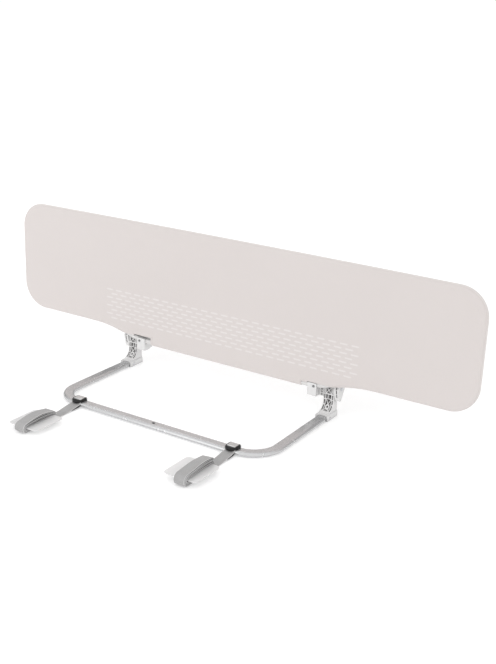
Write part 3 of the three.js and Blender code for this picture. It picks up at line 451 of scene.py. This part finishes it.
SLOTS = {
    "tube_enamel": tube_enamel,
    "rail_enamel": rail_enamel,
    "bright_steel": bright_steel,
    "white_plastic": white_plastic,
    "black_plastic": black_plastic,
    "grey_plastic": grey_plastic,
    "cover_fabric": cover_fabric,
    "webbing": grey_webbing,
    "clear_plastic": clear_plastic,
}
for subpart in frame["record"]["subparts"]:
    node = nodes[subpart["node"]]
    if len(node.data.materials) == 0:
        node.data.materials.append(None)
    for slot in node.material_slots:
        slot.material = SLOTS[subpart["material_slot"]]
# the tube's button gets the dark steel as painted shade for the shadowed hole round it
nodes["tube_button"].material_slots[0].material = painted_shade_steel
for name in ("clip_screw_right", "clip_screw_left"):
    nodes[name].material_slots[0].material = screw_steel


# ---------------------------------------------------------------- the panel's outline
def swoop_inner():
    drop = PANEL_BOTTOM - PANEL_SKIRT
    bends = SWOOP_OUTER_RADIUS + SWOOP_INNER_RADIUS
    root = math.sqrt(SWOOP_STRAIGHT**2 + drop * (2 * bends - drop))
    half_tangent = (root - SWOOP_STRAIGHT) / (2 * bends - drop)
    return SWOOP_OUTER - drop / math.tan(2 * math.atan(half_tangent))


def panel_outline(inset, steps=1):
    """Points and outward directions round the panel, anticlockwise from the lower right."""
    half = PANEL_LENGTH / 2
    crown_radius = CROWN_REACH * half / math.tan(math.atan2(PANEL_CROWN, half))
    right = [
        (swoop_inner(), PANEL_SKIRT, SWOOP_INNER_RADIUS, 10),
        (SWOOP_OUTER, PANEL_BOTTOM, SWOOP_OUTER_RADIUS, 14),
        (half, PANEL_BOTTOM, CORNER_RADIUS, 20),
        (half, PANEL_TOP, CORNER_RADIUS, 20),
    ]
    crown = (0, PANEL_TOP + PANEL_CROWN, crown_radius, 40)
    corners = right + [crown] + [(-x, z, r, n) for x, z, r, n in reversed(right)]
    count = len(corners)
    made = []
    for k, (x, z, radius, turns) in enumerate(corners):
        before = (Vector((x, z)) - Vector(corners[k - 1][:2])).normalized()
        after = (Vector(corners[(k + 1) % count][:2]) - Vector((x, z))).normalized()
        inwards = Vector((-before.y - after.y, before.x + after.x)) / (1 + before.dot(after))
        convex = before.x * after.y - before.y * after.x > 0
        bend = radius + (-inset if convex else inset)
        angle = math.acos(max(-1, min(1, before.dot(after))))
        corner = Vector((x, z)) + inwards * inset
        start = corner - before * bend * math.tan(angle / 2)
        side = (after - before * math.cos(angle)).normalized()
        for step in range(turns * steps + 1):
            turn = angle * step / (turns * steps)
            point = start + side * bend + before * bend * math.sin(turn)
            point -= side * bend * math.cos(turn)
            tangent = before * math.cos(turn) + side * math.sin(turn)
            made.append((point, Vector((tangent.y, -tangent.x))))
    return made


def spaced_outline(inset, spacing):
    """The outline with extra points so that none lie further apart than the spacing."""
    coarse = panel_outline(inset)
    made = []
    for k, (point, outward) in enumerate(coarse):
        after, turned = coarse[(k + 1) % len(coarse)]
        count = max(1, math.ceil((after - point).length / spacing))
        for step in range(count):
            share = step / count
            made.append((point.lerp(after, share), outward.lerp(turned, share).normalized()))
    return made


# ---------------------------------------------------------------- the fabric cover
RIM_STEPS = 10
NOTCH_REACH = 40  # how far the boxes that cut the notches reach to either side
GRID = 14
SAG = 2.2
SAG_REACH = 55  # how far from its edge the cloth takes to settle
PULL_REACH = 90
PULL_DEPTH = 0.35
DRIFT = 0.45


def relief(x, z, edge):
    """How far the cloth lies inside the plane of the frame's faces: it sags a little between the
    rails, with faint pulls that run in from its ends."""
    settle = 1 - math.exp(-max(0, edge) / SAG_REACH)
    pull = math.exp(-max(0, edge) / PULL_REACH)
    folds = 0.5 * math.sin(x / 41 + 1.3 * math.sin(z / 63)) + 0.5 * math.sin(x / 97 - z / 58)
    drift = DRIFT * math.sin(x / 173 + 0.7) * math.sin(z / 121 + 0.4)
    return settle * (SAG + drift + PULL_DEPTH * folds * pull)


def inside_points(outline, spacing):
    """Grid points well inside a closed outline, with their distance from it."""
    points = [p for p, _ in outline]
    left, bottom = min(p.x for p in points), min(p.y for p in points)
    width, height = max(p.x for p in points) - left, max(p.y for p in points) - bottom
    columns, rows = int(width / spacing), int(height / spacing)
    found = []
    for i in range(1, columns):
        x = left + width * i / columns
        for j in range(1, rows):
            z = bottom + height * j / rows
            if not within(points, x, z):
                continue
            away = distance(points, x, z)
            if away > spacing * 0.55:
                found.append((x, z, away))
    return found


def within(points, x, z):
    inside = False
    for k, a in enumerate(points):
        b = points[k - 1]
        if (a.y > z) != (b.y > z) and x < (b.x - a.x) * (z - a.y) / (b.y - a.y) + a.x:
            inside = not inside
    return inside


def distance(points, x, z):
    least = 1e9
    spot = Vector((x, z))
    for k, a in enumerate(points):
        b = points[k - 1]
        way = b - a
        share = max(0, min(1, (spot - a).dot(way) / max(1e-9, way.length_squared)))
        least = min(least, (spot - a - way * share).length)
    return least


def cover_half(name, side):
    """One half of the cover as a closed thin shell: a face, a round rim and the seam edge."""
    outline = spaced_outline(COVER_HALF, GRID)
    grid = inside_points(outline, GRID)
    flat = [p for p, _ in outline] + [Vector((x, z)) for x, z, _ in grid]
    count = len(outline)
    edges = [(k, (k + 1) % count) for k in range(count)]
    placed, _, faces, *_ = delaunay_2d_cdt(flat, edges, [], 1, 1e-4)
    edge_distance = [0] * count + [away for *_, away in grid]
    vertices, polygons, rims = [], [], []
    for layer in (0, 1):
        half = COVER_HALF - layer * COVER_WALL
        first = len(vertices)
        for k, spot in enumerate(placed):
            sunk = relief(spot.x, spot.y, edge_distance[k]) if k < len(edge_distance) else 0
            depth = half - sunk
            vertices.append((spot.x * MM, (PANEL_PLANE + side * depth) * MM, spot.y * MM))
        for face in faces:
            polygons.append([first + k for k in face])
        ring = [first + k for k in range(count)]
        for step in range(1, RIM_STEPS + 1):
            turn = math.pi / 2 * step / RIM_STEPS
            start = len(vertices)
            for point, outward in outline:
                spot = point + outward * half * math.sin(turn)
                depth = max(SEAM_HALF, half * math.cos(turn))
                vertices.append((spot.x * MM, (PANEL_PLANE + side * depth) * MM, spot.y * MM))
            for k in range(count):
                n = (k + 1) % count
                polygons.append([ring[k], ring[n], start + n, start + k])
            ring = [start + k for k in range(count)]
        rims.append(ring)
    for k in range(count):
        n = (k + 1) % count
        polygons.append([rims[0][k], rims[0][n], rims[1][n], rims[1][k]])
    piece = faces_outwards(new_object(name, vertices, polygons, cover_fabric))
    low, high = PANEL_PLANE - NOTCH_REACH, PANEL_PLANE + NOTCH_REACH
    boxes = []
    for x0, x1 in ((NOTCH_INNER, NOTCH_OUTER), (-NOTCH_OUTER, -NOTCH_INNER)):
        if side < 0 < x0:
            boxes.append(((x0, low, 0), (x1, high, RAIL_NOTCH_TOP)))
            boxes.append(((RAIL_NOTCH_END, low, 0), (x1, high, CLIP_NOTCH_TOP)))
        else:
            boxes.append(((x0, low, 0), (x1, high, NOTCH_TOP)))
    window_back = PANEL_PLANE + WINDOW_DEPTH
    boxes.append(((-WINDOW_OUTER, low, 0), (-NOTCH_INNER, window_back, WINDOW_TOP)))
    cut_boxes(piece, boxes)
    smooth_by_angle(piece)
    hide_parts(name.replace("cover_cloth", "cover"))
    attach(piece, "panel")
    return piece


cover_front = cover_half("cover_cloth_front", -1)
cover_back = cover_half("cover_cloth_back", 1)


# ---------------------------------------------------------------- sweeps
def sweep(name, stations, section, material, uv=False):
    """A closed section swept along stations, each (place, across, up), in metres."""
    rings, sides = len(stations), len(section)
    vertices = []
    for place, across, up in stations:
        vertices += [place + across * a + up * b for a, b in section]
    piece = faces_outwards(new_object(name, vertices, tube_faces(rings, sides), material))
    if uv:
        run = [0.0]
        for k in range(1, rings):
            run.append(run[-1] + (stations[k][0] - stations[k - 1][0]).length)
        layer = piece.data.uv_layers.new(name="weave")
        for loop in piece.data.loops:
            ring, side = divmod(loop.vertex_index, sides)
            layer.data[loop.index].uv = (section[side][0], run[ring])
    return smooth_by_angle(piece, 40)


def rounded_section(width, height, radius, steps):
    """A rectangle with rounded corners, centred on the path."""
    made = []
    for sx, sy, start in ((1, 1, 0), (-1, 1, 90), (-1, -1, 180), (1, -1, 270)):
        for k in range(steps + 1):
            turn = math.radians(start + 90 * k / steps)
            made.append(
                (
                    sx * (width / 2 - radius) + radius * math.cos(turn),
                    sy * (height / 2 - radius) + radius * math.sin(turn),
                )
            )
    return made


# ---------------------------------------------------------------- seams and stitching
BINDING_HALF = 5.2
BINDING_PROUD = 0.35
STITCH_PITCH = 4.0
STITCH_LENGTH = 2.9
STITCH_RADIUS = 0.22
STITCH_INSET = 1.3  # from the binding's edge
RUN_SPACING = 6
LOWER_EDGE_LIMIT = 200  # all of the panel's lower edge lies below this


def edge_runs(margin):
    """The outline as open runs that leave out the notches, with a margin on both sides."""
    outline = spaced_outline(COVER_HALF, RUN_SPACING)

    def kept(point):
        over_notch = NOTCH_INNER - margin < abs(point.x) < NOTCH_OUTER + margin
        return not (point.y < LOWER_EDGE_LIMIT and over_notch)

    keeps = [kept(point) for point, _ in outline]
    start = next(k for k in range(len(keeps)) if keeps[k] and not keeps[k - 1])
    runs, run = [], []
    for point, outward in outline[start:] + outline[:start]:
        if kept(point):
            run.append((point, outward))
        elif run:
            runs.append(run)
            run = []
    if run:
        runs.append(run)
    return runs


def binding_section(radius, half, proud):
    """The section of a tape that wraps the rim: (outward, along Y) pairs."""
    steps = 7
    reach = half / radius
    outer = [(radius + proud, reach * (2 * k / steps - 1)) for k in range(steps + 1)]
    inner = [(radius - proud, reach * (1 - 2 * k / steps)) for k in range(steps + 1)]
    return [(r * math.cos(t), r * math.sin(t)) for r, t in outer + inner]


tape_section = binding_section(COVER_HALF * MM, BINDING_HALF * MM, BINDING_PROUD * MM)
for index, run in enumerate(edge_runs(2.0)):
    stations = [
        (Vector((p.x * MM, PANEL_PLANE * MM, p.y * MM)), Vector((o.x, 0, o.y)), Vector((0, 1, 0)))
        for p, o in run
    ]
    tape = sweep(f"cover_binding_{index + 1}", stations, tape_section, binding_fabric_painted_light)
    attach(tape, "panel")


def stitches(name, runs):
    """Rows of stitches: each is a short thread that rises from the cloth and dips back."""
    vertices, faces = [], []
    sides, rings = 5, 5
    for run in runs:
        lengths = [0.0]
        for k in range(1, len(run)):
            lengths.append(lengths[-1] + (run[k][0] - run[k - 1][0]).length)
        count = int(lengths[-1] / (STITCH_PITCH * MM))
        k = 0
        for n in range(count):
            middle = (n + 0.5) * lengths[-1] / count
            while k < len(run) - 2 and lengths[k + 1] < middle:
                k += 1
            (a, na), (b, nb) = run[k], run[k + 1]
            share = (middle - lengths[k]) / max(1e-9, lengths[k + 1] - lengths[k])
            place, up = a.lerp(b, share), na.lerp(nb, share).normalized()
            along = (b - a).normalized()
            across = along.cross(up).normalized()
            up = across.cross(along).normalized()
            first = len(vertices)
            for ring in range(rings):
                t = 2 * ring / (rings - 1) - 1
                centre = place + along * t * STITCH_LENGTH * MM / 2
                centre += up * STITCH_RADIUS * MM * (0.55 - 1.1 * t * t)
                thick = STITCH_RADIUS * MM * (1 - 0.45 * t * t)
                for j in range(sides):
                    turn = 2 * math.pi * j / sides
                    vertices.append(
                        centre + across * thick * math.cos(turn) + up * thick * math.sin(turn)
                    )
            faces += tube_faces(rings, sides, first)
    piece = new_object(name, vertices, faces, thread)
    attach(piece, "panel")


def rim_rows(offset, radius):
    """Rows of stitches round the rim, at a distance along it from the seam, on both faces."""
    rows = []
    angle = offset / COVER_HALF
    for side in (-1, 1):
        for run in edge_runs(6.0):
            row = []
            for point, outward in run:
                out = Vector((outward.x, 0, outward.y)) * math.cos(angle)
                normal = (out + Vector((0, side, 0)) * math.sin(angle)).normalized()
                centre = Vector((point.x, PANEL_PLANE, point.y))
                row.append(((centre + normal * radius) * MM, normal))
            rows.append(row)
    return rows


stitches(
    "cover_seam_stitches", rim_rows(BINDING_HALF - STITCH_INSET, COVER_HALF + BINDING_PROUD)
)

HEM_WIDTH = 5.5
HEM_WRAP = 0.7
HEM_PROUD = 0.35
HEM_SECTION = [
    (a * MM, b * MM)
    for a, b in (
        (-HEM_WRAP, -COVER_WALL),
        (-HEM_WRAP, HEM_PROUD * 0.3),
        (-HEM_WRAP * 0.4, HEM_PROUD),
        (HEM_WIDTH - 0.3, HEM_PROUD),
        (HEM_WIDTH, HEM_PROUD * 0.4),
        (HEM_WIDTH, -COVER_WALL - HEM_PROUD),
        (-HEM_WRAP * 0.4, -COVER_WALL - HEM_PROUD),
    )
]
HEM_PLACES = (275, 295, 315)  # where a notch's top edge has points, from the middle outwards


def cloth_place(x, z, side):
    """A place on the cover's outer face near its lower edge, with the way that it faces there."""
    rise = z - PANEL_SKIRT - COVER_HALF
    if rise < 0:
        turn = math.acos(min(1, -rise / COVER_HALF))
        normal = Vector((0, side * math.sin(turn), -math.cos(turn)))
        return Vector((x, PANEL_PLANE + side * COVER_HALF * math.sin(turn), z)), normal
    depth = COVER_HALF - relief(x, z, rise)
    return Vector((x, PANEL_PLANE + side * depth, z)), Vector((0, side, 0))


def notch_path(sign, front):
    """The corners of a notch's edge from the seam inwards, each with the way into the cloth."""
    rim = [p for p, _ in panel_outline(COVER_HALF, 4)]
    stepped, window = front and sign > 0, front and sign < 0
    level = CLIP_NOTCH_TOP if stepped else NOTCH_TOP
    outer = min(p.x for p in rim if p.x > NOTCH_INNER and p.y > level)
    top = WINDOW_TOP if window else RAIL_NOTCH_TOP if stepped else level
    path = []
    for k in range(5):
        z = PANEL_SKIRT + 1 + (COVER_HALF - 1) * k / 4
        path.append((NOTCH_INNER, z, (-1, 0)))
    path.append((NOTCH_INNER, top, (-1, 1)))
    if window:
        for x in HEM_PLACES[:2]:
            path.append((x, top, (0, 1)))
        path += [(WINDOW_OUTER, top, (1, 1)), (WINDOW_OUTER, level, (1, 1))]
    elif stepped:
        path.append((RAIL_NOTCH_END, top, (-1, 1)))
        path.append((RAIL_NOTCH_END, level, (-1, 1)))
        for x in HEM_PLACES[1:]:
            path.append((x, level, (0, 1)))
    else:
        for x in HEM_PLACES:
            path.append((x, top, (0, 1)))
    path.append((min(outer, NOTCH_OUTER) - 1, level, (0, 1)))
    return [(sign * x, z, (sign * a, b)) for x, z, (a, b) in path if abs(x) <= outer]


def notch_hem(side_name, side, end_name, sign):
    stations, row = [], []
    for x, z, (a, b) in notch_path(sign, side < 0):
        place, normal = cloth_place(x, z, side)
        into = Vector((a, 0, b))
        into -= normal * into.dot(normal)
        stations.append((place * MM, into, normal))
        row.append(((place + into * HEM_WIDTH * 0.55 + normal * HEM_PROUD) * MM, normal))
    hem = sweep(f"cover_hem_{side_name}_{end_name}", stations, HEM_SECTION, cover_fabric)
    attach(hem, "panel")
    stitches(f"hem_stitches_{side_name}_{end_name}", [row])


for side_name, side in (("front", -1), ("back", 1)):
    for end_name, sign in (("right", 1), ("left", -1)):
        notch_hem(side_name, side, end_name, sign)

# ---------------------------------------------------------------- webbing
STRAP_WIDTH = 30
STRAP_THICKNESS = 1.5
STRAP_EDGE = 0.62  # radius of its edges
STRAP_SPACING = 6
STRAP_PITCH = 2.05
RUN_SHARE = 0.35
WINDING_START = 2.55
WINDING_END = 50.5
STRAP_FLOOR = 1.05
TUBE_HEIGHT = 13
TUBE_WIDTH = 30
STRAP_TAIL = 12
STRAP_WRAP = math.radians(62)  # how far round the tube's front the webbing goes
SHOULDER_POINTS = 13
BACK_BEND = 3.5
STRAP_SLOPE = math.radians(7.5)
FLOOR_RADIUS = 60
GAP = 0.3
GROUPING = 0.02  # how strongly the loose laps keep together in groups
LAP_UNEVENNESS = 0.06  # how far every second lap lies closer to the next, as a share of the pitch


def strap_line(winding_centre, turns):
    """The webbing's middle line in the Y-Z plane: out of the clamp, down to the floor, and wound
    inwards round the plate."""
    over = TUBE_HEIGHT / 2 + GAP + STRAP_THICKNESS / 2
    shoulder = -(TUBE_WIDTH - TUBE_HEIGHT) / 2
    middle = TUBE_HEIGHT / 2
    line = [(STRAP_TAIL, middle + over)]
    for k in range(SHOULDER_POINTS):
        turn = STRAP_WRAP * k / (SHOULDER_POINTS - 1)
        line.append((shoulder - over * math.sin(turn), middle + over * math.cos(turn)))
    bent_y = line[-1][0] - BACK_BEND * math.sin(STRAP_WRAP)
    bent_z = line[-1][1] + BACK_BEND * math.cos(STRAP_WRAP)
    for k in range(1, 9):
        turn = STRAP_WRAP + (STRAP_SLOPE - STRAP_WRAP) * k / 8
        line.append((bent_y + BACK_BEND * math.sin(turn), bent_z - BACK_BEND * math.cos(turn)))
    y0, z0 = line[-1]
    drop = z0 - STRAP_FLOOR
    corner_y = y0 - drop / math.tan(STRAP_SLOPE)
    tangent = FLOOR_RADIUS * math.tan(STRAP_SLOPE / 2)
    for k in range(9):
        turn = STRAP_SLOPE * (1 - k / 8)
        line.append(
            (
                corner_y - tangent + FLOOR_RADIUS * math.sin(turn),
                STRAP_FLOOR + FLOOR_RADIUS * (1 - math.cos(turn)),
            )
        )
    line.append((winding_centre + WINDING_END, STRAP_FLOOR))
    reach = WINDING_START + STRAP_PITCH * (turns + 1 - (0.5 - RUN_SHARE))
    centre = STRAP_FLOOR + reach
    steps = 26
    for lap in range(turns + 1):
        for side in (-1, 1):
            if lap == turns and side == 1:
                break
            begin = lap + (RUN_SHARE if side == -1 else 0.5 + RUN_SHARE)
            for k in range(steps + 1):
                share = begin + (0.5 - RUN_SHARE) * k / steps
                radius = reach - STRAP_PITCH * (share + LAP_UNEVENNESS * math.sin(math.pi * share))
                turn = math.pi * k / steps
                line.append(
                    (
                        winding_centre + side * (WINDING_END + radius * math.sin(turn)),
                        centre + side * radius * math.cos(turn),
                    )
                )
    line.append((winding_centre + WINDING_END, centre + WINDING_START))
    return line, centre, reach


def looseness(point, winding_centre, centre, reach):
    """How far out a point of the upper laps lies, and where along the plate, from -1 to 1."""
    along = (point.x - winding_centre) / (WINDING_END + reach)
    above = max(0, (point.y - centre - WINDING_START) / reach)
    above -= GROUPING * math.sin(4 * math.pi * above)
    return above, max(-1, min(1, along))


def filled(line, spacing):
    made = []
    for k in range(len(line) - 1):
        a, b = Vector(line[k]), Vector(line[k + 1])
        count = max(1, math.ceil((b - a).length / spacing))
        made += [a.lerp(b, step / count) for step in range(count)]
    made.append(Vector(line[-1]))
    return made


def build_strap(side, centre_x, *, winding_centre, turns, phase, rise, far_rise, roll):
    """The webbing; the laps on the plate lie loosely: they rise in the middle, and at the far end,
    where they may also be tilted."""
    corners, centre, reach = strap_line(winding_centre, turns)
    line = filled(corners, STRAP_SPACING)
    tilts = []
    for k, point in enumerate(line):
        above, along = looseness(point, winding_centre, centre, reach)
        far = math.sin(math.pi / 2 * max(0, min(1, along + 0.5))) ** 2 * min(1, 8 * (1 - along))
        lift = rise * math.cos(math.pi / 2 * along) ** 1.5 + far_rise * far
        line[k] = Vector((point.x, point.y + above * lift))
        tilts.append(roll * above * far)
    stations, run = [], 0.0
    for k, point in enumerate(line):
        before, after = line[max(0, k - 1)], line[min(len(line) - 1, k + 1)]
        way = (after - before).normalized()
        run += (point - line[k - 1]).length if k else 0
        shift = 0.6 * math.sin(run / 71 + phase) + 0.35 * math.sin(run / 29 + 2 * phase)
        shift *= min(1, run / 160)
        place = Vector((centre_x + shift, point.x, point.y)) * MM
        forward = Vector((0, way.x, way.y))
        across = Vector((1, 0, tilts[k])).normalized()
        stations.append((place, across, forward.cross(across).normalized() * -1))
    shape = rounded_section(STRAP_WIDTH * MM, STRAP_THICKNESS * MM, STRAP_EDGE * MM, 3)
    piece = sweep(f"strap_webbing_{side}", stations, shape, grey_webbing, uv=True)
    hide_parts(f"strap_{side}")
    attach(piece, f"clamp_{side}")


STRAP_PLACES = {"right": 246, "left": -252}
WINDINGS = {
    "right": dict(winding_centre=-165, turns=5, phase=0.4, rise=5.0, far_rise=6.0, roll=0.16),
    "left": dict(winding_centre=-170, turns=4, phase=2.1, rise=12.0, far_rise=1.0, roll=0.04),
}
for side, winding in WINDINGS.items():
    build_strap(side, STRAP_PLACES[side], **winding)

# ---------------------------------------------------------------- strap clamps
CLAMP_HALF = 17.5
CLAMP_FRONT = -19.5
CLAMP_BACK = 17.6
CLAMP_TOP = 20.5
CLAMP_CORNERS = (15.5, 7.5)  # in front and behind, seen from above
CLAMP_SHOULDER = 6
CLAMP_LIP = 11.8
CLAMP_TAPER = 0.45  # of the sides, as a share of the shoulder's
LIP_BACK = -12.2
CUT_BEYOND = 5
CUT_REACH = 30
LEVER_HALF = 12.4
LEVER_FRONT = -10
LEVER_TOP = 20.9
LEVER_BOTTOM = 17.3
LEVER_BEVEL = 3.3
LEVER_PIVOT = 11
CAM_RADIUS = 3
TONGUE_BACK = -16.6
TONGUE_FRONT = -46
TONGUE_HALF = 15.6
TONGUE_DROP = 1.0  # below the webbing's middle line
TONGUE_FLOOR = 0.3
TONGUE_THICKNESS = 4.6
TONGUE_TAPER = 3.6


def copy_of(node, name):
    """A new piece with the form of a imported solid."""
    mesh = nodes[node].data.copy()
    mesh.transform(nodes[node].matrix_world)
    piece = bpy.data.objects.new(name, mesh)
    bpy.context.scene.collection.objects.link(piece)
    return piece


def pebble(centre_x):
    """The clamp's outer form: round ends seen from above, and a round shoulder."""
    vertices = []
    middle = (CLAMP_FRONT + CLAMP_BACK) / 2
    half_depth = (CLAMP_BACK - CLAMP_FRONT) / 2
    levels = [(-1, 0)]
    for k in range(9):
        turn = math.pi / 2 * k / 8
        height = CLAMP_TOP - CLAMP_SHOULDER * (1 - math.sin(turn))
        levels.append((height, CLAMP_SHOULDER * (1 - math.cos(turn))))
    for height, inset in levels:
        across = CLAMP_HALF - inset * CLAMP_TAPER
        front, back = (
            rounded_section(2 * across, 2 * (half_depth - inset), radius - inset, 8)
            for radius in CLAMP_CORNERS
        )
        half = len(back) // 2
        plan = back[:half] + front[half:]
        vertices += [((centre_x + a) * MM, (middle + b) * MM, height * MM) for a, b in plan]
    faces = tube_faces(len(levels), len(vertices) // len(levels))
    return faces_outwards(new_object("pebble", vertices, faces))


def prism(name, outline, x0, x1, material):
    """A closed outline in the Y-Z plane, carried from x0 to x1."""
    count = len(outline)
    vertices = [(x * MM, y * MM, z * MM) for x in (x0, x1) for y, z in outline]
    faces = [tuple(range(count)), tuple(count + k for k in reversed(range(count)))]
    faces += [(k, count + k, count + (k + 1) % count, (k + 1) % count) for k in range(count)]
    return faces_outwards(new_object(name, vertices, faces, material, smooth=False))


def rounded_edges(piece, radius, segments):
    work = piece.modifiers.new("rounded", "BEVEL")
    work.width = radius * MM
    work.segments = segments
    work.limit_method = "ANGLE"
    work.angle_limit = math.radians(32)
    apply_modifiers(piece)
    smooth_by_angle(piece, 45)


def clamp_body(side, centre_x):
    body = copy_of(f"strap_clamp_{side}", f"clamp_body_{side}")
    combined(body, pebble(centre_x), "INTERSECT")
    low, high = centre_x - LEVER_HALF - GAP, centre_x + LEVER_HALF + GAP
    under_lip = (
        (centre_x - CUT_REACH, CLAMP_FRONT - CUT_BEYOND, -CUT_BEYOND),
        (centre_x + CUT_REACH, LIP_BACK, CLAMP_LIP),
    )
    lever_space = (
        (low, LEVER_FRONT - GAP, LEVER_BOTTOM - GAP),
        (high, CLAMP_BACK + CUT_BEYOND, CLAMP_TOP + CUT_BEYOND),
    )
    cam_space = (
        (low, LEVER_PIVOT - CAM_RADIUS - GAP, TUBE_HEIGHT),
        (high, LEVER_PIVOT + CAM_RADIUS + GAP, CLAMP_TOP),
    )
    cut_boxes(body, [under_lip, lever_space, cam_space])
    body.data.materials.clear()
    body.data.materials.append(black_plastic)
    smooth_by_angle(body, 35)
    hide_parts(f"strap_clamp_{side}")
    return body


def clamp_shade_tongue(side, centre_x):
    """A black tongue under the webbing where it leaves the clamp: a piece of the clamp whose dark
    plastic also stands in as painted shade for the gap under the webbing.
    """
    line = strap_line(CLAMP_FRONT - 100, 1)[0]
    top, bottom = [], []
    for k in range(9):
        y = TONGUE_BACK + (TONGUE_FRONT - TONGUE_BACK) * k / 8
        spot = next(n for n in range(1 + SHOULDER_POINTS, len(line)) if line[n][0] < y)
        (y0, z0), (y1, z1) = line[spot - 1], line[spot]
        under = z0 + (z1 - z0) * (y - y0) / (y1 - y0) - TONGUE_DROP
        top.append((y, under))
        bottom.append((y, max(TONGUE_FLOOR, under - TONGUE_THICKNESS + TONGUE_TAPER * k / 8)))
    low, high = centre_x - TONGUE_HALF, centre_x + TONGUE_HALF
    tongue = prism(f"clamp_shade_tongue_{side}", top + bottom[::-1], low, high, black_plastic)
    rounded_edges(tongue, 0.4, 2)
    return tongue


def clamp_lever(side, centre_x):
    outline = [(LEVER_FRONT, LEVER_BOTTOM), (LEVER_FRONT, LEVER_TOP - LEVER_BEVEL)]
    for k in range(6):
        turn = math.pi / 2 * k / 5
        outline.append(
            (
                LEVER_FRONT + LEVER_BEVEL * (1.15 - math.cos(turn)),
                LEVER_TOP - LEVER_BEVEL * (1 - math.sin(turn)),
            )
        )
    pivot_z = LEVER_TOP - CAM_RADIUS + 0.5
    for k in range(17):
        turn = math.pi / 2 - math.pi * 1.25 * k / 16
        outline.append(
            (LEVER_PIVOT + CAM_RADIUS * math.cos(turn), pivot_z + CAM_RADIUS * math.sin(turn))
        )
    outline.append((LEVER_PIVOT - CAM_RADIUS, LEVER_BOTTOM))
    low, high = centre_x - LEVER_HALF, centre_x + LEVER_HALF
    lever = prism(f"lever_cap_{side}", outline, low, high, grey_plastic)
    rounded_edges(lever, 0.5, 3)
    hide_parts(f"clamp_lever_{side}")
    return lever


def build_clamp(side, centre_x):
    for piece, slot, owner in (
        (clamp_body(side, centre_x), "black_plastic", f"clamp_{side}"),
        (clamp_shade_tongue(side, centre_x), "black_plastic", f"clamp_{side}"),
        (clamp_lever(side, centre_x), "grey_plastic", f"lever_{side}"),
    ):
        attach(piece, owner)


for side, centre_x in STRAP_PLACES.items():
    build_clamp(side, centre_x)


def pressed_spring(name, node, body):
    """A copy of a spring, which replaces the imported one and rides on the body that carries it."""
    spring = copy_of(node, name)
    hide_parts(node)
    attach(spring, body)
    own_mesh(spring)


pressed_spring("button_leaf", "button_spring", "base")
for side, end in (("right", "low"), ("left", "high")):
    pressed_spring(
        f"lock_coil_{side}",
        f"plunger_spring_{side}",
        "panel",
    )

# ---------------------------------------------------------------- floor, light
FLOOR_REACH = 90
BACKDROP_RADIUS = 70


def glowing(name, scale, strength):
    """The pale finish of the floor and the backdrop, which give off some light themselves."""
    made = Finish(name, **{"Base Color": (0.8, 0.8, 0.8)})
    made.link(made.spread(made.noise(scale, 2), 0.93, 0.97), "Roughness")
    sockets(made.shader, {"Emission Color": (1, 1, 1), "Emission Strength": strength})
    return made.material


floor = new_object(
    "studio_floor",
    [(x * FLOOR_REACH, y * FLOOR_REACH, -0.0004) for x, y in ((-1, -1), (1, -1), (1, 1), (-1, 1))],
    [(0, 1, 2, 3)],
    glowing("studio_floor", 2, 0.295),
)


def dome(name, radius, material, sides=48, levels=12):
    """Half a globe round the scene, open below."""
    vertices, faces = [], []
    for level in range(levels):
        rise = math.pi / 2 * level / levels
        for k in range(sides):
            turn = 2 * math.pi * k / sides
            out = radius * math.cos(rise)
            vertices.append((out * math.cos(turn), out * math.sin(turn), radius * math.sin(rise)))
    for level in range(levels - 1):
        for k in range(sides):
            a, b = level * sides + k, level * sides + (k + 1) % sides
            faces.append((b, a, a + sides, b + sides))
    faces.append(tuple(reversed(range((levels - 1) * sides, levels * sides))))
    return new_object(name, vertices, faces, material)


backdrop = dome("studio_backdrop", BACKDROP_RADIUS, glowing("studio_backdrop", 1, 1.0))
backdrop.visible_diffuse = False
backdrop.visible_glossy = False
backdrop.visible_transmission = False
backdrop.visible_shadow = False

BRIGHT_SIDE = Vector((0.3, -0.88, 0.36)).normalized()
SKY_STRENGTH = 1.2
SKY_STEPS = ((0.0, 0.26), (0.24, 0.28), (0.5, 0.72), (0.72, 0.96), (1.0, 1.0))


def studio_sky():
    """Soft light from all round, brighter from the front of the object and dimmer behind it."""
    world = bpy.data.worlds.new("studio")
    bpy.context.scene.world = world
    world.use_nodes = True
    tree = world.node_tree
    background = tree.nodes["Background"]
    background.inputs["Strength"].default_value = SKY_STRENGTH
    facing = tree.nodes.new("ShaderNodeVectorMath")
    facing.operation = "DOT_PRODUCT"
    facing.inputs[1].default_value = BRIGHT_SIDE
    tree.links.new(tree.nodes.new("ShaderNodeTexCoord").outputs["Generated"], facing.inputs[0])
    share = tree.nodes.new("ShaderNodeMath")
    share.operation = "MULTIPLY_ADD"
    share.inputs[1].default_value = 0.5
    share.inputs[2].default_value = 0.5
    tree.links.new(facing.outputs["Value"], share.inputs[0])
    ramp = tree.nodes.new("ShaderNodeValToRGB")
    elements = ramp.color_ramp.elements
    while len(elements) < len(SKY_STEPS):
        elements.new(0.5)
    for element, (place, _) in zip(elements, SKY_STEPS):
        element.position = place
    for element, (_, value) in zip(elements, SKY_STEPS):
        element.color = (value, value, value, 1)
    tree.links.new(share.outputs[0], ramp.inputs["Fac"])
    tree.links.new(ramp.outputs["Color"], background.inputs["Color"])


def soft_light(name, place, aim, size, power):
    lamp = bpy.data.lights.new(name, "AREA")
    lamp.shape = "DISK"
    lamp.size = size
    lamp.energy = power
    holder = bpy.data.objects.new(name, lamp)
    bpy.context.scene.collection.objects.link(holder)
    place, aim = Vector(place), Vector(aim)
    turned = (place - aim).to_track_quat("Z", "Y").to_matrix().to_4x4()
    holder.matrix_world = Matrix.Translation(place) @ turned


studio_sky()
soft_light("front_softbox", (-1.6, -4.4, 1.3), (0, 0.2, 0.15), 2.2, 22)
soft_light("back_softbox", (-2.2, 2.6, 3.2), (0, 0.1, 0.0), 1.4, 30)
